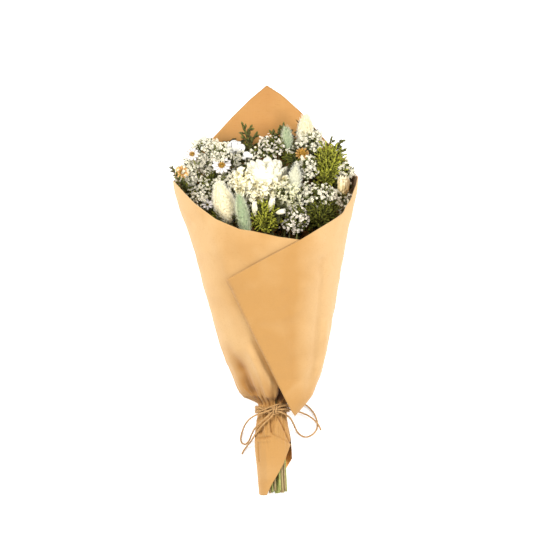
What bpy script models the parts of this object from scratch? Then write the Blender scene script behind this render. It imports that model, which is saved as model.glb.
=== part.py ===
"""Mixed flower bouquet in a kraft paper wrap, tied with a twine bow and lying on its back.

Metres, +Z up.  +Y runs from the cut stems to the flowers and +Z is the side that faces
whoever is given the bouquet.  While it is modelled, Y starts at the tip of the paper tail
and the surface that the bouquet lies on is Z = 0; the last step centres the part on the
middle of its base.

    wrap             one square kraft sheet: cone, front flap, neck and tail
    twine_*          turns round the neck, knot, two bow loops and two loose ends
    stem_band        the binding round the stems, inside the neck
    everything else  one node for each cut stem with the flower or green that grows on it
"""

import math

import bmesh
import bpy
import numpy as np
from mathutils import Matrix, Vector

MM = 0.001

# ---- Clearances and sheet thickness -----------------------------------------
GAP = 0.35 * MM                 # between pieces that touch
PAPER = 0.8 * MM                # the crumpled sheet, taken as one smooth wall
NECK_PAPER = 3.5 * MM           # the same sheet bunched into pleats at the neck

# ---- Neck -------------------------------------------------------------------
NECK_X = 9.0 * MM
NECK_Z = 19.5 * MM
NECK_RADIUS = 16.7 * MM
NECK_LOW = 90.0 * MM
NECK_HIGH = 100.0 * MM
NECK_MID = 0.5 * (NECK_LOW + NECK_HIGH)

# ---- Wrap: sections across Y -------------------------------------------------
# y, left edge, right edge, height of the widest points, top, underside, flatness of the back
WRAP_SECTIONS = np.array((
    (0, -5.5, 30.0, 12.0, 26.0, 0.0, 0.75),
    (30, -8.0, 30.5, 13.5, 29.0, 0.0, 0.75),
    (62, -11.0, 30.0, 15.8, 31.6, 0.0, 0.80),
    (80, -9.0, 27.0, 18.8, 35.0, 1.6, 0.95),
    (90, -7.7, 25.7, 19.5, 36.2, 2.8, 1.00),
    (100, -7.7, 25.7, 19.5, 36.2, 2.8, 1.00),
    (108, -22.5, 34.0, 20.5, 40.5, 1.0, 0.90),
    (118, -30.0, 48.0, 21.8, 47.0, 0.0, 0.80),
    (128, -33.5, 60.0, 23.0, 52.0, 0.0, 0.80),
    (154, -43.0, 66.5, 27.0, 62.0, 0.0, 0.80),
    (198, -57.0, 76.0, 35.0, 79.0, 0.0, 0.80),
    (250, -71.2, 84.7, 43.0, 97.0, 0.0, 0.80),
    (285, -81.5, 90.5, 48.0, 107.0, 0.0, 0.80),
    (347, -100.0, 103.0, 52.0, 112.0, 0.0, 0.80),
    (460, -102.0, 105.0, 52.0, 112.0, 0.0, 0.80),
))
SECTION_POWER = 0.92            # a little squarer than an ellipse

# ---- Wrap: cut edges, seen from above as (x, y) -------------------------------
BACK_RIM = ((-100, 346.5), (-81, 368), (-59.4, 391.6), (-35.2, 418), (-16, 437), (3.0, 453),
            (20, 442), (41.8, 422.4), (69.3, 390.5), (90.2, 369.6), (103.4, 351))
FRONT_RIM = ((-100, 346.5), (-74.8, 320.7), (-52.8, 304.2), (-26.4, 293.2), (-11, 290.9),
             (15.4, 286.6), (40.7, 283.3), (75, 281))
TAIL_FRONT = ((-8, 2), (-3, 0), (3, 0.5), (8.3, 12), (15.4, 24), (20.9, 34), (27, 49.5), (31, 59))
TAIL_BACK = ((-8, 2), (-3, 0), (8, 14), (18, 27), (26, 36), (31, 42))
FLAP_TIP = (33.0, 88.0)
FLAP_CORNER = (-40.7, 237.6)
FLAP_RIM = ((103.0, 351), (94.5, 329), (85, 311.3), (72.6, 302.5), (40.7, 282.7), (0, 260.5),
            FLAP_CORNER)
FLAP_FOLD = ((60.0, 128), (52.8, 110), (45.0, 101), FLAP_TIP)
FLAP_FOLD_LIFT = 30.0           # height of the widest points at the flap's tip
FLAP_TIP_TOP = 43.0             # height of the top of the section there
FLAP_TIP_LEFT = -5.0            # its left edge
FLAP_STANDOFF = 2.6 * MM        # the flap lies this far outside the layer under it

BODY_COLUMNS = 33
FLAP_COLUMNS = 9
ROWS_BELOW_FOLD = (0.0, 0.33, 0.66, 0.84, 1.0)      # tail end to the start of the neck
FOLD_ROWS = (NECK_HIGH, 108 * MM, 118 * MM, 128 * MM)
ROWS_ABOVE_FOLD = 7
FOLD_Y = FOLD_ROWS[-1]

# ---- Twine ------------------------------------------------------------------
TWINE_RADIUS = 1.0 * MM
TWINE_TURNS = 2.9
TWINE_PITCH = 2.4 * MM
TWINE_COIL_RADIUS = NECK_RADIUS + TWINE_RADIUS + 0.6 * MM
POINTS_PER_TURN = 18
KNOT_CENTRE = Vector((12.0, 95.0, 41.3)) * MM
KNOT_HALF = Vector((5.0, 3.4, 2.3)) * MM

# Routes of the four free parts of the bow, in millimetres, from the knot outwards.
LOOP_LEFT = ((6.5, 94.4, 41.4), (-0.6, 92.0, 40.4), (-7.6, 89.6, 36.8), (-14.0, 86.0, 28.0),
             (-19.0, 81.0, 16.5), (-22.4, 75.0, 6.5), (-24.8, 68.0, 1.6), (-25.9, 62.0, 1.15),
             (-24.6, 57.4, 1.15), (-20.6, 56.2, 1.3), (-17.2, 59.4, 3.6), (-15.0, 64.2, 9.5),
             (-13.0, 69.0, 18.5),
             (-10.6, 73.4, 26.6), (-6.4, 78.6, 33.2), (-1.0, 83.6, 37.2), (3.2, 87.2, 39.8),
             (7.8, 91.7, 41.2))
END_LEFT = ((10.6, 90.9, 41.2), (6.8, 86.2, 39.8), (1.6, 81.4, 36.9), (-3.6, 76.0, 33.6),
            (-7.6, 70.8, 29.4), (-11.0, 65.6, 22.6), (-14.0, 60.6, 13.6), (-17.6, 55.8, 5.0),
            (-21.6, 50.6, 1.3), (-24.6, 45.2, 1.15))
LOOP_RIGHT = ((17.0, 92.8, 41.2), (23.0, 90.2, 38.4), (28.0, 86.2, 31.0), (31.2, 81.4, 20.5),
              (33.6, 76.0, 9.4), (36.2, 70.6, 2.4), (40.4, 66.2, 1.15), (46.2, 64.0, 1.15),
              (52.4, 66.0, 1.15), (57.0, 70.6, 1.15), (58.9, 76.6, 1.15), (58.2, 83.4, 1.15),
              (55.0, 90.4, 1.15), (50.0, 96.4, 1.5), (44.4, 100.4, 4.2), (38.8, 101.8, 9.8),
              (33.6, 101.8, 19.0), (28.6, 101.0, 29.5), (23.4, 99.6, 37.4), (16.0, 98.0, 41.0))
END_RIGHT = ((17.7, 95.4, 41.2), (23.4, 95.4, 38.6), (28.2, 95.0, 31.0), (32.2, 94.0, 21.6),
             (36.8, 92.6, 12.6), (42.4, 90.6, 6.6), (48.4, 88.0, 4.2), (53.4, 84.6, 3.9),
             (58.2, 80.2, 4.0), (61.6, 75.0, 2.2), (62.8, 71.6, 1.25))
CORD_POINT_STEP = 5.0 * MM

# ---- Stems ------------------------------------------------------------------
STEM_SIDES = 6
BUNDLE_RADIUS = 11.1 * MM
BAND_INNER = BUNDLE_RADIUS + 0.5 * MM
BAND_OUTER = BAND_INNER + 1.1 * MM
BAND_LENGTH = 6.0 * MM
STEM_PLANES = np.array((22, 60, 88, 99, 107, 115, 125, 137, 155, 190, 235)) * MM
TAIL_CENTRE = (14.5 * MM, 13.6 * MM)
SETTLE_ROUNDS = 500
SQUEEZE_ROUNDS = 300            # rounds that draw the stems together at the tie
DRAW_TOGETHER = 0.985           # their spread after one such round
DIRECTION_MIDDLE = (-0.02, 0.185)           # mean slope of the stems, sideways and upwards
DIRECTION_SCALE = (27.0 * MM, 55.0 * MM)    # neck offset of a stem for each unit of slope

# ---- Flowers ------------------------------------------------------------------
# Height of the flowers' face over the surface: it falls from the front rim to the back.
FACE_FRONT_Y = 285 * MM
FACE_FRONT_Z = 99 * MM
FACE_SLOPE = 0.60
FACE_SIDE_DROP = 0.34
FACE_HALF_WIDTH = 100 * MM

COLOURS = {
    "kraft": ((0.80, 0.53, 0.27), 0.80),
    "jute": ((0.52, 0.33, 0.16), 0.90),
    "raffia": ((0.66, 0.50, 0.27), 0.85),
    "cream_tail": ((0.95, 0.86, 0.66), 0.95),
    "mint_tail": ((0.42, 0.66, 0.50), 0.95),
    "bloom": ((0.96, 0.92, 0.78), 0.85),
    "daisy": ((0.95, 0.92, 0.86), 0.80),
    "tan_daisy": ((0.78, 0.52, 0.26), 0.80),
    "filler": ((0.93, 0.90, 0.86), 0.90),
    "green": ((0.20, 0.27, 0.05), 0.70),
    "bud": ((0.84, 0.80, 0.62), 0.75),
}

# name, finish, shape, x, y, half width, half length, half depth, lean in the plan (degrees),
# rise over the flowers' face, stem radius
FLOWERS = (
    ("bloom_centre", "bloom", "dome", -4, 348, 31, 24, 17, 0, 6, 2.67),
    ("bunny_tail_cream_1", "cream_tail", "tail", -41, 323, 9.5, 22, 9.5, 14, 5, 1.28),
    ("bunny_tail_cream_2", "cream_tail", "tail", 45.5, 403, 7.5, 16, 7.5, -4, 5, 1.16),
    ("bunny_tail_cream_3", "cream_tail", "tail", 33, 352, 6.5, 13, 6.5, -6, 2, 1.16),
    ("bunny_tail_mint_1", "mint_tail", "tail", -23, 310, 7.5, 20, 7.5, 12, 7, 1.16),
    ("bunny_tail_mint_2", "mint_tail", "tail", 25, 396, 5, 11, 5, 8, 3, 1.16),
    ("seed_head", "bud", "tail", 87, 339, 6.5, 10, 6.5, 0, 2, 1.28),
    ("daisy_1", "daisy", "disc", -46.5, 363, 11, 11, 4, 0, 6, 1.16),
    ("daisy_2", "daisy", "disc", -79, 376, 8.5, 8.5, 3.5, 0, 4, 1.16),
    ("daisy_3", "tan_daisy", "disc", -90, 356, 8.5, 8.5, 4, 0, 3, 1.16),
    ("daisy_4", "tan_daisy", "disc", 42, 376, 8, 8, 4, 0, 2, 1.16),
    ("daisy_5", "daisy", "disc", -62, 320, 7, 7, 3, 0, 3, 1.04),
    ("puff_1", "filler", "ball", -32, 381, 11, 10, 9, 0, 2, 1.16),
    ("puff_2", "filler", "ball", -16, 373, 8, 8, 8, 0, 0, 1.16),
    ("bud_1", "bud", "tail", -10, 315, 4, 7, 4, 0, 7, 0.93),
    ("bud_2", "bud", "tail", 8, 319, 4, 7, 4, -16, 6, 0.93),
    ("bud_3", "bud", "ball", 18, 312, 5, 4, 4, 0, 7, 0.93),
    ("spray_1", "filler", "ball", -61, 377, 17, 18, 13, 0, -2, 1.39),
    ("spray_2", "filler", "ball", -85, 352, 10, 14, 13, 0, -2, 1.28),
    ("spray_3", "filler", "ball", -64, 335, 15, 17, 13, 0, -3, 1.39),
    ("spray_4", "filler", "ball", 6, 382, 19, 14, 13, 0, -2, 1.39),
    ("spray_5", "filler", "ball", 52, 386, 13, 14, 12, 0, -4, 1.28),
    ("spray_6", "filler", "ball", 46, 358, 13, 15, 13, 0, -2, 1.39),
    ("spray_7", "filler", "ball", 58, 332, 22, 14, 14, 0, 0, 1.51),
    ("spray_8", "filler", "ball", 38, 300, 16, 15, 14, 0, -2, 1.39),
    ("spray_9", "filler", "ball", 89, 356, 9, 11, 10, 0, 0, 1.16),
    ("spray_10", "filler", "ball", 25, 329, 15, 14, 13, 0, -1, 1.39),
    ("spray_11", "filler", "ball", -40, 344, 13, 13, 12, 0, -3, 1.28),
    ("cypress_1", "green", "tail", -15, 393, 11, 18, 8, 18, 0, 1.51),
    ("cypress_2", "green", "tail", 17, 399, 9, 15, 7, -16, -4, 1.39),
    ("cypress_3", "green", "ball", 72, 362, 19, 26, 14, 0, 0, 1.74),
    ("cypress_4", "green", "ball", 64, 306, 22, 19, 17, 0, -1, 1.74),
    ("cypress_5", "green", "ball", 3, 303, 19, 17, 15, 0, -1, 1.62),
    ("cypress_6", "green", "tail", 78, 388, 10, 13, 7, -8, 0, 1.39),
    ("cypress_7", "green", "ball", -46, 304, 15, 15, 14, 0, -4, 1.39),
    ("cypress_8", "green", "ball", -86, 333, 11, 12, 12, 0, -6, 1.39),
    ("leaf_left", "green", "leaf", -94, 349, 3, 15, 4, 34, 12, 1.04),
)


# ---- Small helpers ------------------------------------------------------------

def clear_scene():
    """Remove every object from the scene."""
    for obj in list(bpy.data.objects):
        bpy.data.objects.remove(obj, do_unlink=True)


def make_material(name):
    """Principled material with the colour and roughness of one finish."""
    colour, roughness = COLOURS[name]
    material = bpy.data.materials.new(name)
    material.use_nodes = True
    shader = material.node_tree.nodes["Principled BSDF"]
    shader.inputs["Base Color"].default_value = (*colour, 1.0)
    shader.inputs["Roughness"].default_value = roughness
    shader.inputs["Metallic"].default_value = 0.0
    material.diffuse_color = (*colour, 1.0)
    return material


def add_object(name, data, material):
    """Link a mesh or curve as a named object with one material."""
    data.materials.append(material)
    obj = bpy.data.objects.new(name, data)
    bpy.context.scene.collection.objects.link(obj)
    return obj


def edge_line(points, x):
    """Y of a cut edge at x, from its corner points in millimetres."""
    ordered = sorted(points)
    return float(np.interp(x / MM, [p[0] for p in ordered], [p[1] for p in ordered])) * MM


def section(y):
    """Left, right, mid height, top, underside and flatness of the wrap at y, in metres."""
    values = [np.interp(y / MM, WRAP_SECTIONS[:, 0], WRAP_SECTIONS[:, k]) for k in range(1, 7)]
    return [value * MM for value in values[:5]] + [values[5]]


def roundness(y):
    """1 at the round neck and SECTION_POWER everywhere else."""
    away = max(NECK_LOW - y, y - NECK_HIGH, 0.0)
    blend = min(away / (12 * MM), 1.0)
    return 1.0 + (SECTION_POWER - 1.0) * blend


def section_point(y, angle):
    """Point of the wrap's outside at y; angle 0 is the right edge and 90 degrees the front."""
    left, right, mid, top, under, flat = section(y)
    power = roundness(y)
    cosine, sine = math.cos(angle), math.sin(angle)
    across = math.copysign(abs(cosine) ** power, cosine)
    x = 0.5 * (left + right) + 0.5 * (right - left) * across
    if sine >= 0.0:
        return Vector((x, y, mid + (top - mid) * sine ** power))
    return Vector((x, y, mid - (mid - under) * min(1.0, abs(sine) / flat)))


def paper_thickness(y):
    """Wall of the sheet: thin in the cone, bunched at the neck."""
    away = max(NECK_LOW - 4 * MM - y, y - NECK_HIGH, 0.0)
    blend = max(0.0, 1.0 - away / (14 * MM))
    return PAPER + (NECK_PAPER - PAPER) * blend


# ---- The wrap -------------------------------------------------------------------

def under_layer_start(y):
    """Angle at which the layer under the flap begins."""
    return math.radians(np.interp(y / MM, (0, 60, 104, 118, 128, 200, 285), (10, 10, 12, 24, 34, 40, 46)))


def rim_height(angle):
    """Y at which the column of the sheet at an angle meets the cut edge of the mouth."""
    edge = FRONT_RIM if 0.0 <= angle <= math.pi else BACK_RIM
    y = 0.35
    for _ in range(30):
        y = 0.5 * (y + edge_line(edge, section_point(y, angle).x))
    return y


def tail_start(angle):
    """Y of the cut edge of the tail for the column at an angle."""
    edge = TAIL_FRONT if 0.0 <= angle <= math.pi else TAIL_BACK
    y = 0.02
    for _ in range(30):
        y = 0.5 * (y + edge_line(edge, section_point(y, angle).x))
    return y


def body_column(share):
    """Points of one column of the cone, neck and tail, from the tail up to the rim."""
    def angle_at(y):
        start = under_layer_start(y)
        return start + (2.0 * math.pi - start) * share

    low = tail_start(angle_at(0.0))
    high = rim_height(angle_at(0.3))
    heights = [low + (NECK_LOW - low) * step for step in ROWS_BELOW_FOLD]
    heights += FOLD_ROWS
    heights += [FOLD_Y + (high - FOLD_Y) * k / ROWS_ABOVE_FOLD for k in range(1, ROWS_ABOVE_FOLD + 1)]
    return [section_point(y, angle_at(y)) for y in heights]


def along_polyline(points, share):
    """Point at a share of the length of a polyline."""
    corners = [Vector(point) for point in points]
    lengths = [(b - a).length for a, b in zip(corners, corners[1:])]
    target = share * sum(lengths)
    for start, end, length in zip(corners, corners[1:], lengths):
        if target <= length:
            return start.lerp(end, target / length)
        target -= length
    return corners[-1]


def flap_right_edge(y):
    """Right edge of the flap: its fold below FOLD_Y, then the right edge of the cone."""
    if y >= FOLD_Y:
        return section(y)[1]
    across, up = zip(*reversed(FLAP_FOLD))
    return float(np.interp(y / MM, up, across)) * MM


def flap_point(across, up):
    """Outer face of the flap; across 0 is its fold, 1 its free edge, up 0 the tip side."""
    fold = along_polyline(FLAP_FOLD, across)
    rim = along_polyline(FLAP_RIM, across)
    right_y = FOLD_Y / MM + (FLAP_RIM[0][1] - FOLD_Y / MM) * up
    right = Vector((flap_right_edge(right_y * MM) / MM, right_y))
    free = Vector(FLAP_TIP).lerp(Vector(FLAP_CORNER), up)
    corner_blend = (Vector(FLAP_FOLD[0]) * (1 - across) * (1 - up) + Vector(FLAP_TIP) * across * (1 - up)
                    + Vector(FLAP_RIM[0]) * (1 - across) * up + Vector(FLAP_CORNER) * across * up)
    plan = fold * (1 - up) + rim * up + right * (1 - across) + free * across - corner_blend
    x, y = plan.x * MM, plan.y * MM
    left, _, mid, top, _, _ = section(max(y, FOLD_Y))
    if y < FOLD_Y:
        share = (FOLD_Y - y) / (FOLD_Y - FLAP_TIP[1] * MM)
        mid += (FLAP_FOLD_LIFT * MM - mid) * share
        top += (FLAP_TIP_TOP * MM - top) * share
        left += (FLAP_TIP_LEFT * MM - left) * share
    edge = flap_right_edge(y)
    centre = 0.5 * (left + edge)
    sideways = min(max((x - centre) / (edge - centre), -1.0), 1.0)
    angle = math.acos(math.copysign(abs(sideways) ** (1.0 / SECTION_POWER), sideways))
    base = Vector((x, y, mid + (top - mid) * math.sin(angle) ** SECTION_POWER))
    outward = Vector((math.cos(angle) / (edge - centre), 0.0, math.sin(angle) / (top - mid))).normalized()
    grow = min(angle / math.radians(25), 1.0)
    return base + outward * FLAP_STANDOFF * grow


def build_wrap(material):
    """The kraft sheet: cone, neck and tail in one strip of columns, then the flap."""
    mesh = bmesh.new()
    columns = []
    for index in range(BODY_COLUMNS):
        points = body_column(index / (BODY_COLUMNS - 1))
        columns.append([mesh.verts.new(point) for point in points])
    rows = len(columns[0])
    fold_row = rows - 1 - ROWS_ABOVE_FOLD
    for index in range(1, FLAP_COLUMNS + 1):
        across = 1.0 - math.cos(0.5 * math.pi * index / FLAP_COLUMNS)
        column = [None] * fold_row
        column += [mesh.verts.new(flap_point(across, k / ROWS_ABOVE_FOLD))
                   for k in range(ROWS_ABOVE_FOLD + 1)]
        columns.append(column)
    for left, right in zip(columns, columns[1:]):
        for row in range(rows - 1):
            if left[row] and right[row]:
                mesh.faces.new((left[row], left[row + 1], right[row + 1], right[row]))
    mesh.normal_update()
    thicken(mesh)
    data = bpy.data.meshes.new("wrap")
    mesh.to_mesh(data)
    mesh.free()
    return add_object("wrap", data, material)


def thicken(mesh):
    """Give a single layer of faces its inner side and close it along every free edge."""
    outer = list(mesh.verts)
    inner = {}
    for vertex in outer:
        place = vertex.co - vertex.normal * paper_thickness(vertex.co.y)
        inner[vertex] = mesh.verts.new(place)
    border = [edge for edge in mesh.edges if edge.is_boundary]
    rims = []
    for edge in border:
        loop = edge.link_loops[0]
        rims.append((loop.vert, loop.link_loop_next.vert))
    for face in list(mesh.faces):
        mesh.faces.new([inner[vertex] for vertex in reversed(face.verts)])
    for first, second in rims:
        mesh.faces.new((second, first, inner[first], inner[second]))
    bmesh.ops.recalc_face_normals(mesh, faces=mesh.faces)


# ---- Twine ----------------------------------------------------------------------

def smooth_route(points, step):
    """Points every step or so along a smooth curve through a route given in millimetres."""
    route = [Vector(point) * MM for point in points]
    padded = [2 * route[0] - route[1], *route, 2 * route[-1] - route[-2]]
    result = []
    for before, start, end, after in zip(padded, padded[1:], padded[2:], padded[3:]):
        count = max(1, round((end - start).length / step))
        for k in range(count):
            t = k / count
            result.append(0.5 * (2 * start + (end - before) * t
                                 + (2 * before - 5 * start + 4 * end - after) * t * t
                                 + (3 * start - before - 3 * end + after) * t ** 3))
    result.append(route[-1])
    return result


def build_tube(name, points, radius, material):
    """A round cord along points, as a curve with a bevel and filled ends."""
    curve = bpy.data.curves.new(name, "CURVE")
    curve.dimensions = "3D"
    curve.bevel_depth = radius
    curve.bevel_resolution = 2
    curve.use_fill_caps = True
    spline = curve.splines.new("POLY")
    spline.points.add(len(points) - 1)
    for slot, point in zip(spline.points, points):
        slot.co = (*point, 1.0)
    return add_object(name, curve, material)


def twine_coil_points():
    """Helix of the turns round the neck, starting and ending under the knot."""
    count = round(TWINE_TURNS * POINTS_PER_TURN)
    start_y = NECK_MID - 0.5 * TWINE_TURNS * TWINE_PITCH
    points = []
    for k in range(count + 1):
        turn = k / POINTS_PER_TURN
        angle = math.radians(105) + turn * 2.0 * math.pi
        x = NECK_X + TWINE_COIL_RADIUS * math.cos(angle)
        z = NECK_Z + TWINE_COIL_RADIUS * math.sin(angle)
        points.append(Vector((x, start_y + turn * TWINE_PITCH, z)))
    return points


def build_knot(material):
    """The knot of the bow, a rounded lump over the turns."""
    mesh = bmesh.new()
    bmesh.ops.create_icosphere(mesh, subdivisions=2, radius=1.0)
    bmesh.ops.transform(mesh, matrix=Matrix.Diagonal((*KNOT_HALF, 1.0)), verts=mesh.verts)
    bmesh.ops.translate(mesh, vec=KNOT_CENTRE, verts=mesh.verts)
    data = bpy.data.meshes.new("twine_knot")
    mesh.to_mesh(data)
    mesh.free()
    return add_object("twine_knot", data, material)


def build_band(material):
    """The flat binding that holds the stems inside the neck."""
    mesh = bmesh.new()
    sides = 28
    rings = []
    for radius, y in ((BAND_OUTER, -1), (BAND_OUTER, 1), (BAND_INNER, 1), (BAND_INNER, -1)):
        ring = []
        for k in range(sides):
            angle = 2.0 * math.pi * k / sides
            ring.append(mesh.verts.new((NECK_X + radius * math.cos(angle), NECK_MID + 0.5 * y * BAND_LENGTH,
                                        NECK_Z + radius * math.sin(angle))))
        rings.append(ring)
    for current, following in zip(rings, rings[1:] + rings[:1]):
        for k in range(sides):
            n = (k + 1) % sides
            mesh.faces.new((current[k], current[n], following[n], following[k]))
    bmesh.ops.recalc_face_normals(mesh, faces=mesh.faces)
    data = bpy.data.meshes.new("stem_band")
    mesh.to_mesh(data)
    mesh.free()
    return add_object("stem_band", data, material)


# ---- Flowers and stems -------------------------------------------------------------

class Flower:
    """One cut stem and the head that it carries."""

    def __init__(self, row):
        (self.name, self.finish, self.shape, x, y, half_width, half_length, half_depth,
         lean, rise, stem) = row
        self.half = np.array((half_width, half_length, half_depth)) * MM
        self.stem = stem * MM
        self.centre = Vector((x, y, 0.0)) * MM
        self.centre.z = self.face_height() + rise * MM - self.half[2]
        away = self.centre.y - NECK_MID
        self.slope = np.array(((self.centre.x - NECK_X) / away, (self.centre.z - NECK_Z) / away))
        self.frame = self.head_frame(math.radians(lean))
        self.reach = float(max(self.half))
        self.path = []

    def face_height(self):
        """Height of the flowers' face at this head."""
        height = FACE_FRONT_Z - FACE_SLOPE * (self.centre.y - FACE_FRONT_Y)
        return height * (1.0 - FACE_SIDE_DROP * (self.centre.x / FACE_HALF_WIDTH) ** 2)

    def head_frame(self, lean):
        """Rotation of the head: long axis along its stem, or its face to the front."""
        if self.shape in ("disc", "dome"):
            facing = Vector((0.0, 0.42, 0.90)).normalized()
            across = Vector((1.0, 0.0, 0.0))
            return Matrix((across, facing.cross(across), facing)).transposed()
        along = Vector((-math.sin(lean), math.cos(lean), float(self.slope[1]))).normalized()
        across = along.cross(Vector((0.0, 0.0, 1.0))).normalized()
        return Matrix((across, along, across.cross(along))).transposed()

    def neck_offset(self):
        """Place of the stem in the neck before the stems settle against each other."""
        return [(self.slope[k] - DIRECTION_MIDDLE[k]) * DIRECTION_SCALE[k] for k in range(2)]


def settle(places, radii, limit=None, centre=(0.0, 0.0), squeeze=0):
    """Push round stems apart in one plane until none overlap, inside a ring if there is one.

    The first `squeeze` rounds also draw them together, as the tie does.
    """
    places = np.array(places, dtype=float)
    middle = np.array(centre)
    for turn in range(SETTLE_ROUNDS):
        if turn < squeeze:
            places = middle + (places - middle) * DRAW_TOGETHER
        for first in range(len(places)):
            apart = places[first] - places
            distance = np.hypot(apart[:, 0], apart[:, 1])
            distance[first] = 1.0
            need = radii[first] + radii + GAP + 0.08 * MM
            push = np.clip(need - distance, 0.0, None) * 0.5
            places[first] += (apart / np.maximum(distance, 1e-9)[:, None] * push[:, None]).sum(axis=0)
        if limit is not None:
            offset = places - middle
            distance = np.hypot(offset[:, 0], offset[:, 1])
            most = limit - radii
            places = middle + offset * np.minimum(1.0, most / np.maximum(distance, 1e-9))[:, None]
    return places


def route_stems(flowers):
    """Lay each stem from its cut end through the neck to its head."""
    radii = np.array([flower.stem for flower in flowers])
    neck = settle([flower.neck_offset() for flower in flowers], radii, BUNDLE_RADIUS,
                  squeeze=SQUEEZE_ROUNDS)
    planes = []
    for y in STEM_PLANES:
        if y <= NECK_LOW:
            share = ((NECK_LOW - y) / NECK_LOW) ** 0.6
            middle = (NECK_X + (TAIL_CENTRE[0] - NECK_X) * share, NECK_Z + (TAIL_CENTRE[1] - NECK_Z) * share)
            places = neck * (1.0 + 0.04 * share) + middle
            places = settle(places, radii, BUNDLE_RADIUS * (1.0 + 0.1 * share), middle)
        else:
            places = []
            for flower, start in zip(flowers, neck):
                share = max(0.0, y - NECK_HIGH) / (flower.centre.y - NECK_HIGH)
                head = np.array((flower.centre.x, flower.centre.z))
                places.append((start + (NECK_X, NECK_Z)) * (1.0 - share) + head * share)
            if y > NECK_HIGH:
                places = settle(places, radii)
        planes.append((y, places))
    for index, flower in enumerate(flowers):
        first_y, first_places = planes[0]
        cut = (2.5 + 4.0 * ((index * 0.618) % 1.0)) * MM
        slope = (np.array(planes[1][1][index]) - first_places[index]) / (planes[1][0] - first_y)
        start = first_places[index] - slope * (first_y - cut)
        flower.path = [Vector((start[0], cut, start[1]))]
        for y, places in planes:
            if y < flower.centre.y - 30 * MM:
                flower.path.append(Vector((places[index][0], y, places[index][1])))
        flower.path.append(flower.centre.copy())


def build_stem(mesh, path, radius):
    """Add a closed six-sided stem along a path to a mesh."""
    rings = []
    for index, point in enumerate(path):
        before = path[max(index - 1, 0)]
        after = path[min(index + 1, len(path) - 1)]
        along = (after - before).normalized()
        across = along.cross(Vector((0.0, 0.0, 1.0))).normalized()
        upward = across.cross(along)
        ring = []
        for k in range(STEM_SIDES):
            angle = 2.0 * math.pi * k / STEM_SIDES
            out = across * math.cos(angle) + upward * math.sin(angle)
            ring.append(mesh.verts.new(point + out * radius))
        rings.append(ring)
    for low, high in zip(rings, rings[1:]):
        for k in range(STEM_SIDES):
            n = (k + 1) % STEM_SIDES
            mesh.faces.new((low[k], low[n], high[n], high[k]))
    mesh.faces.new(rings[0])
    mesh.faces.new(list(reversed(rings[-1])))
    bmesh.ops.recalc_face_normals(mesh, faces=mesh.faces)


def confine(point):
    """Draw a point of a head inside the paper where the paper is."""
    left, right, mid, top, under, flat = section(point.y)
    margin = PAPER + 1.2 * MM
    half = 0.5 * (right - left) - margin
    x = (point.x - 0.5 * (left + right)) / half
    rise = (top - mid if point.z > mid else mid - under) - margin
    z = (point.z - mid) / rise
    angle = math.atan2(z, x) % (2.0 * math.pi)
    spare = max(0.0, point.y - rim_height(angle) - 2 * MM)
    limit = 1.0 + spare / half
    size = (abs(x) ** 2.15 + abs(z) ** 2.15) ** (1.0 / 2.15)
    if size > limit:
        x, z = x * limit / size, z * limit / size
    low = under + margin
    return Vector((0.5 * (left + right) + x * half, point.y, max(mid + z * rise, low)))


def cut_head(mesh, place, normal):
    """Cut a head by a plane and close it, keeping the side that the normal points away from."""
    shape = bmesh.ops.bisect_plane(mesh, geom=mesh.verts[:] + mesh.edges[:] + mesh.faces[:], plane_co=place,
                                   plane_no=normal, clear_outer=True)
    edges = [item for item in shape["geom_cut"] if isinstance(item, bmesh.types.BMEdge)]
    if edges:
        bmesh.ops.edgeloop_fill(mesh, edges=edges)


def nearest_on_segment(start, end, point):
    """Closest point of the straight run from start to end to a point."""
    step = end - start
    share = min(max((point - start).dot(step) / step.length_squared, 0.0), 1.0)
    return start + step * share


def build_head(flower, flowers):
    """The envelope of one head, cut clear of the other heads and of the stems beside it."""
    mesh = bmesh.new()
    bmesh.ops.create_icosphere(mesh, subdivisions=2, radius=1.0)
    for vertex in mesh.verts:
        local = Vector([vertex.co[k] * flower.half[k] for k in range(3)])
        vertex.co = confine(flower.centre + flower.frame @ local)
    for other in flowers:
        if other is flower:
            continue
        apart = other.centre - flower.centre
        if apart.length < flower.reach + other.reach:
            share = spread(flower, apart) / (spread(flower, apart) + spread(other, apart))
            place = flower.centre + apart * share - apart.normalized() * 0.5 * GAP
            cut_head(mesh, place, apart.normalized())
        for start, end in zip(other.path, other.path[1:]):
            close = nearest_on_segment(start, end, flower.centre)
            away = close - flower.centre
            if away.length < flower.reach + other.stem + GAP:
                cut_head(mesh, close - away.normalized() * (other.stem + GAP), away.normalized())
    bmesh.ops.remove_doubles(mesh, verts=mesh.verts, dist=0.05 * MM)
    bmesh.ops.triangulate(mesh, faces=mesh.faces)
    bmesh.ops.recalc_face_normals(mesh, faces=mesh.faces)
    return mesh


def spread(flower, direction):
    """How far a head reaches from its centre in a direction."""
    local = flower.frame.transposed() @ direction.normalized()
    return 1.0 / math.sqrt(sum((local[k] / flower.half[k]) ** 2 for k in range(3)))


def build_flower(flower, flowers, material):
    """One node: the stem joined to its head."""
    stem_mesh = bmesh.new()
    build_stem(stem_mesh, flower.path, flower.stem)
    stem_data = bpy.data.meshes.new(flower.name)
    stem_mesh.to_mesh(stem_data)
    stem_mesh.free()
    head_data = bpy.data.meshes.new(flower.name + "_head")
    head_mesh = build_head(flower, flowers)
    head_mesh.to_mesh(head_data)
    head_mesh.free()
    head = add_object(flower.name + "_head", head_data, material)
    head.hide_render = True
    head.display_type = "WIRE"
    obj = add_object(flower.name, stem_data, material)
    join = obj.modifiers.new("join", "BOOLEAN")
    join.operation = "UNION"
    join.solver = "EXACT"
    join.object = head
    return obj


# ---- Whole part -----------------------------------------------------------------------

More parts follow.
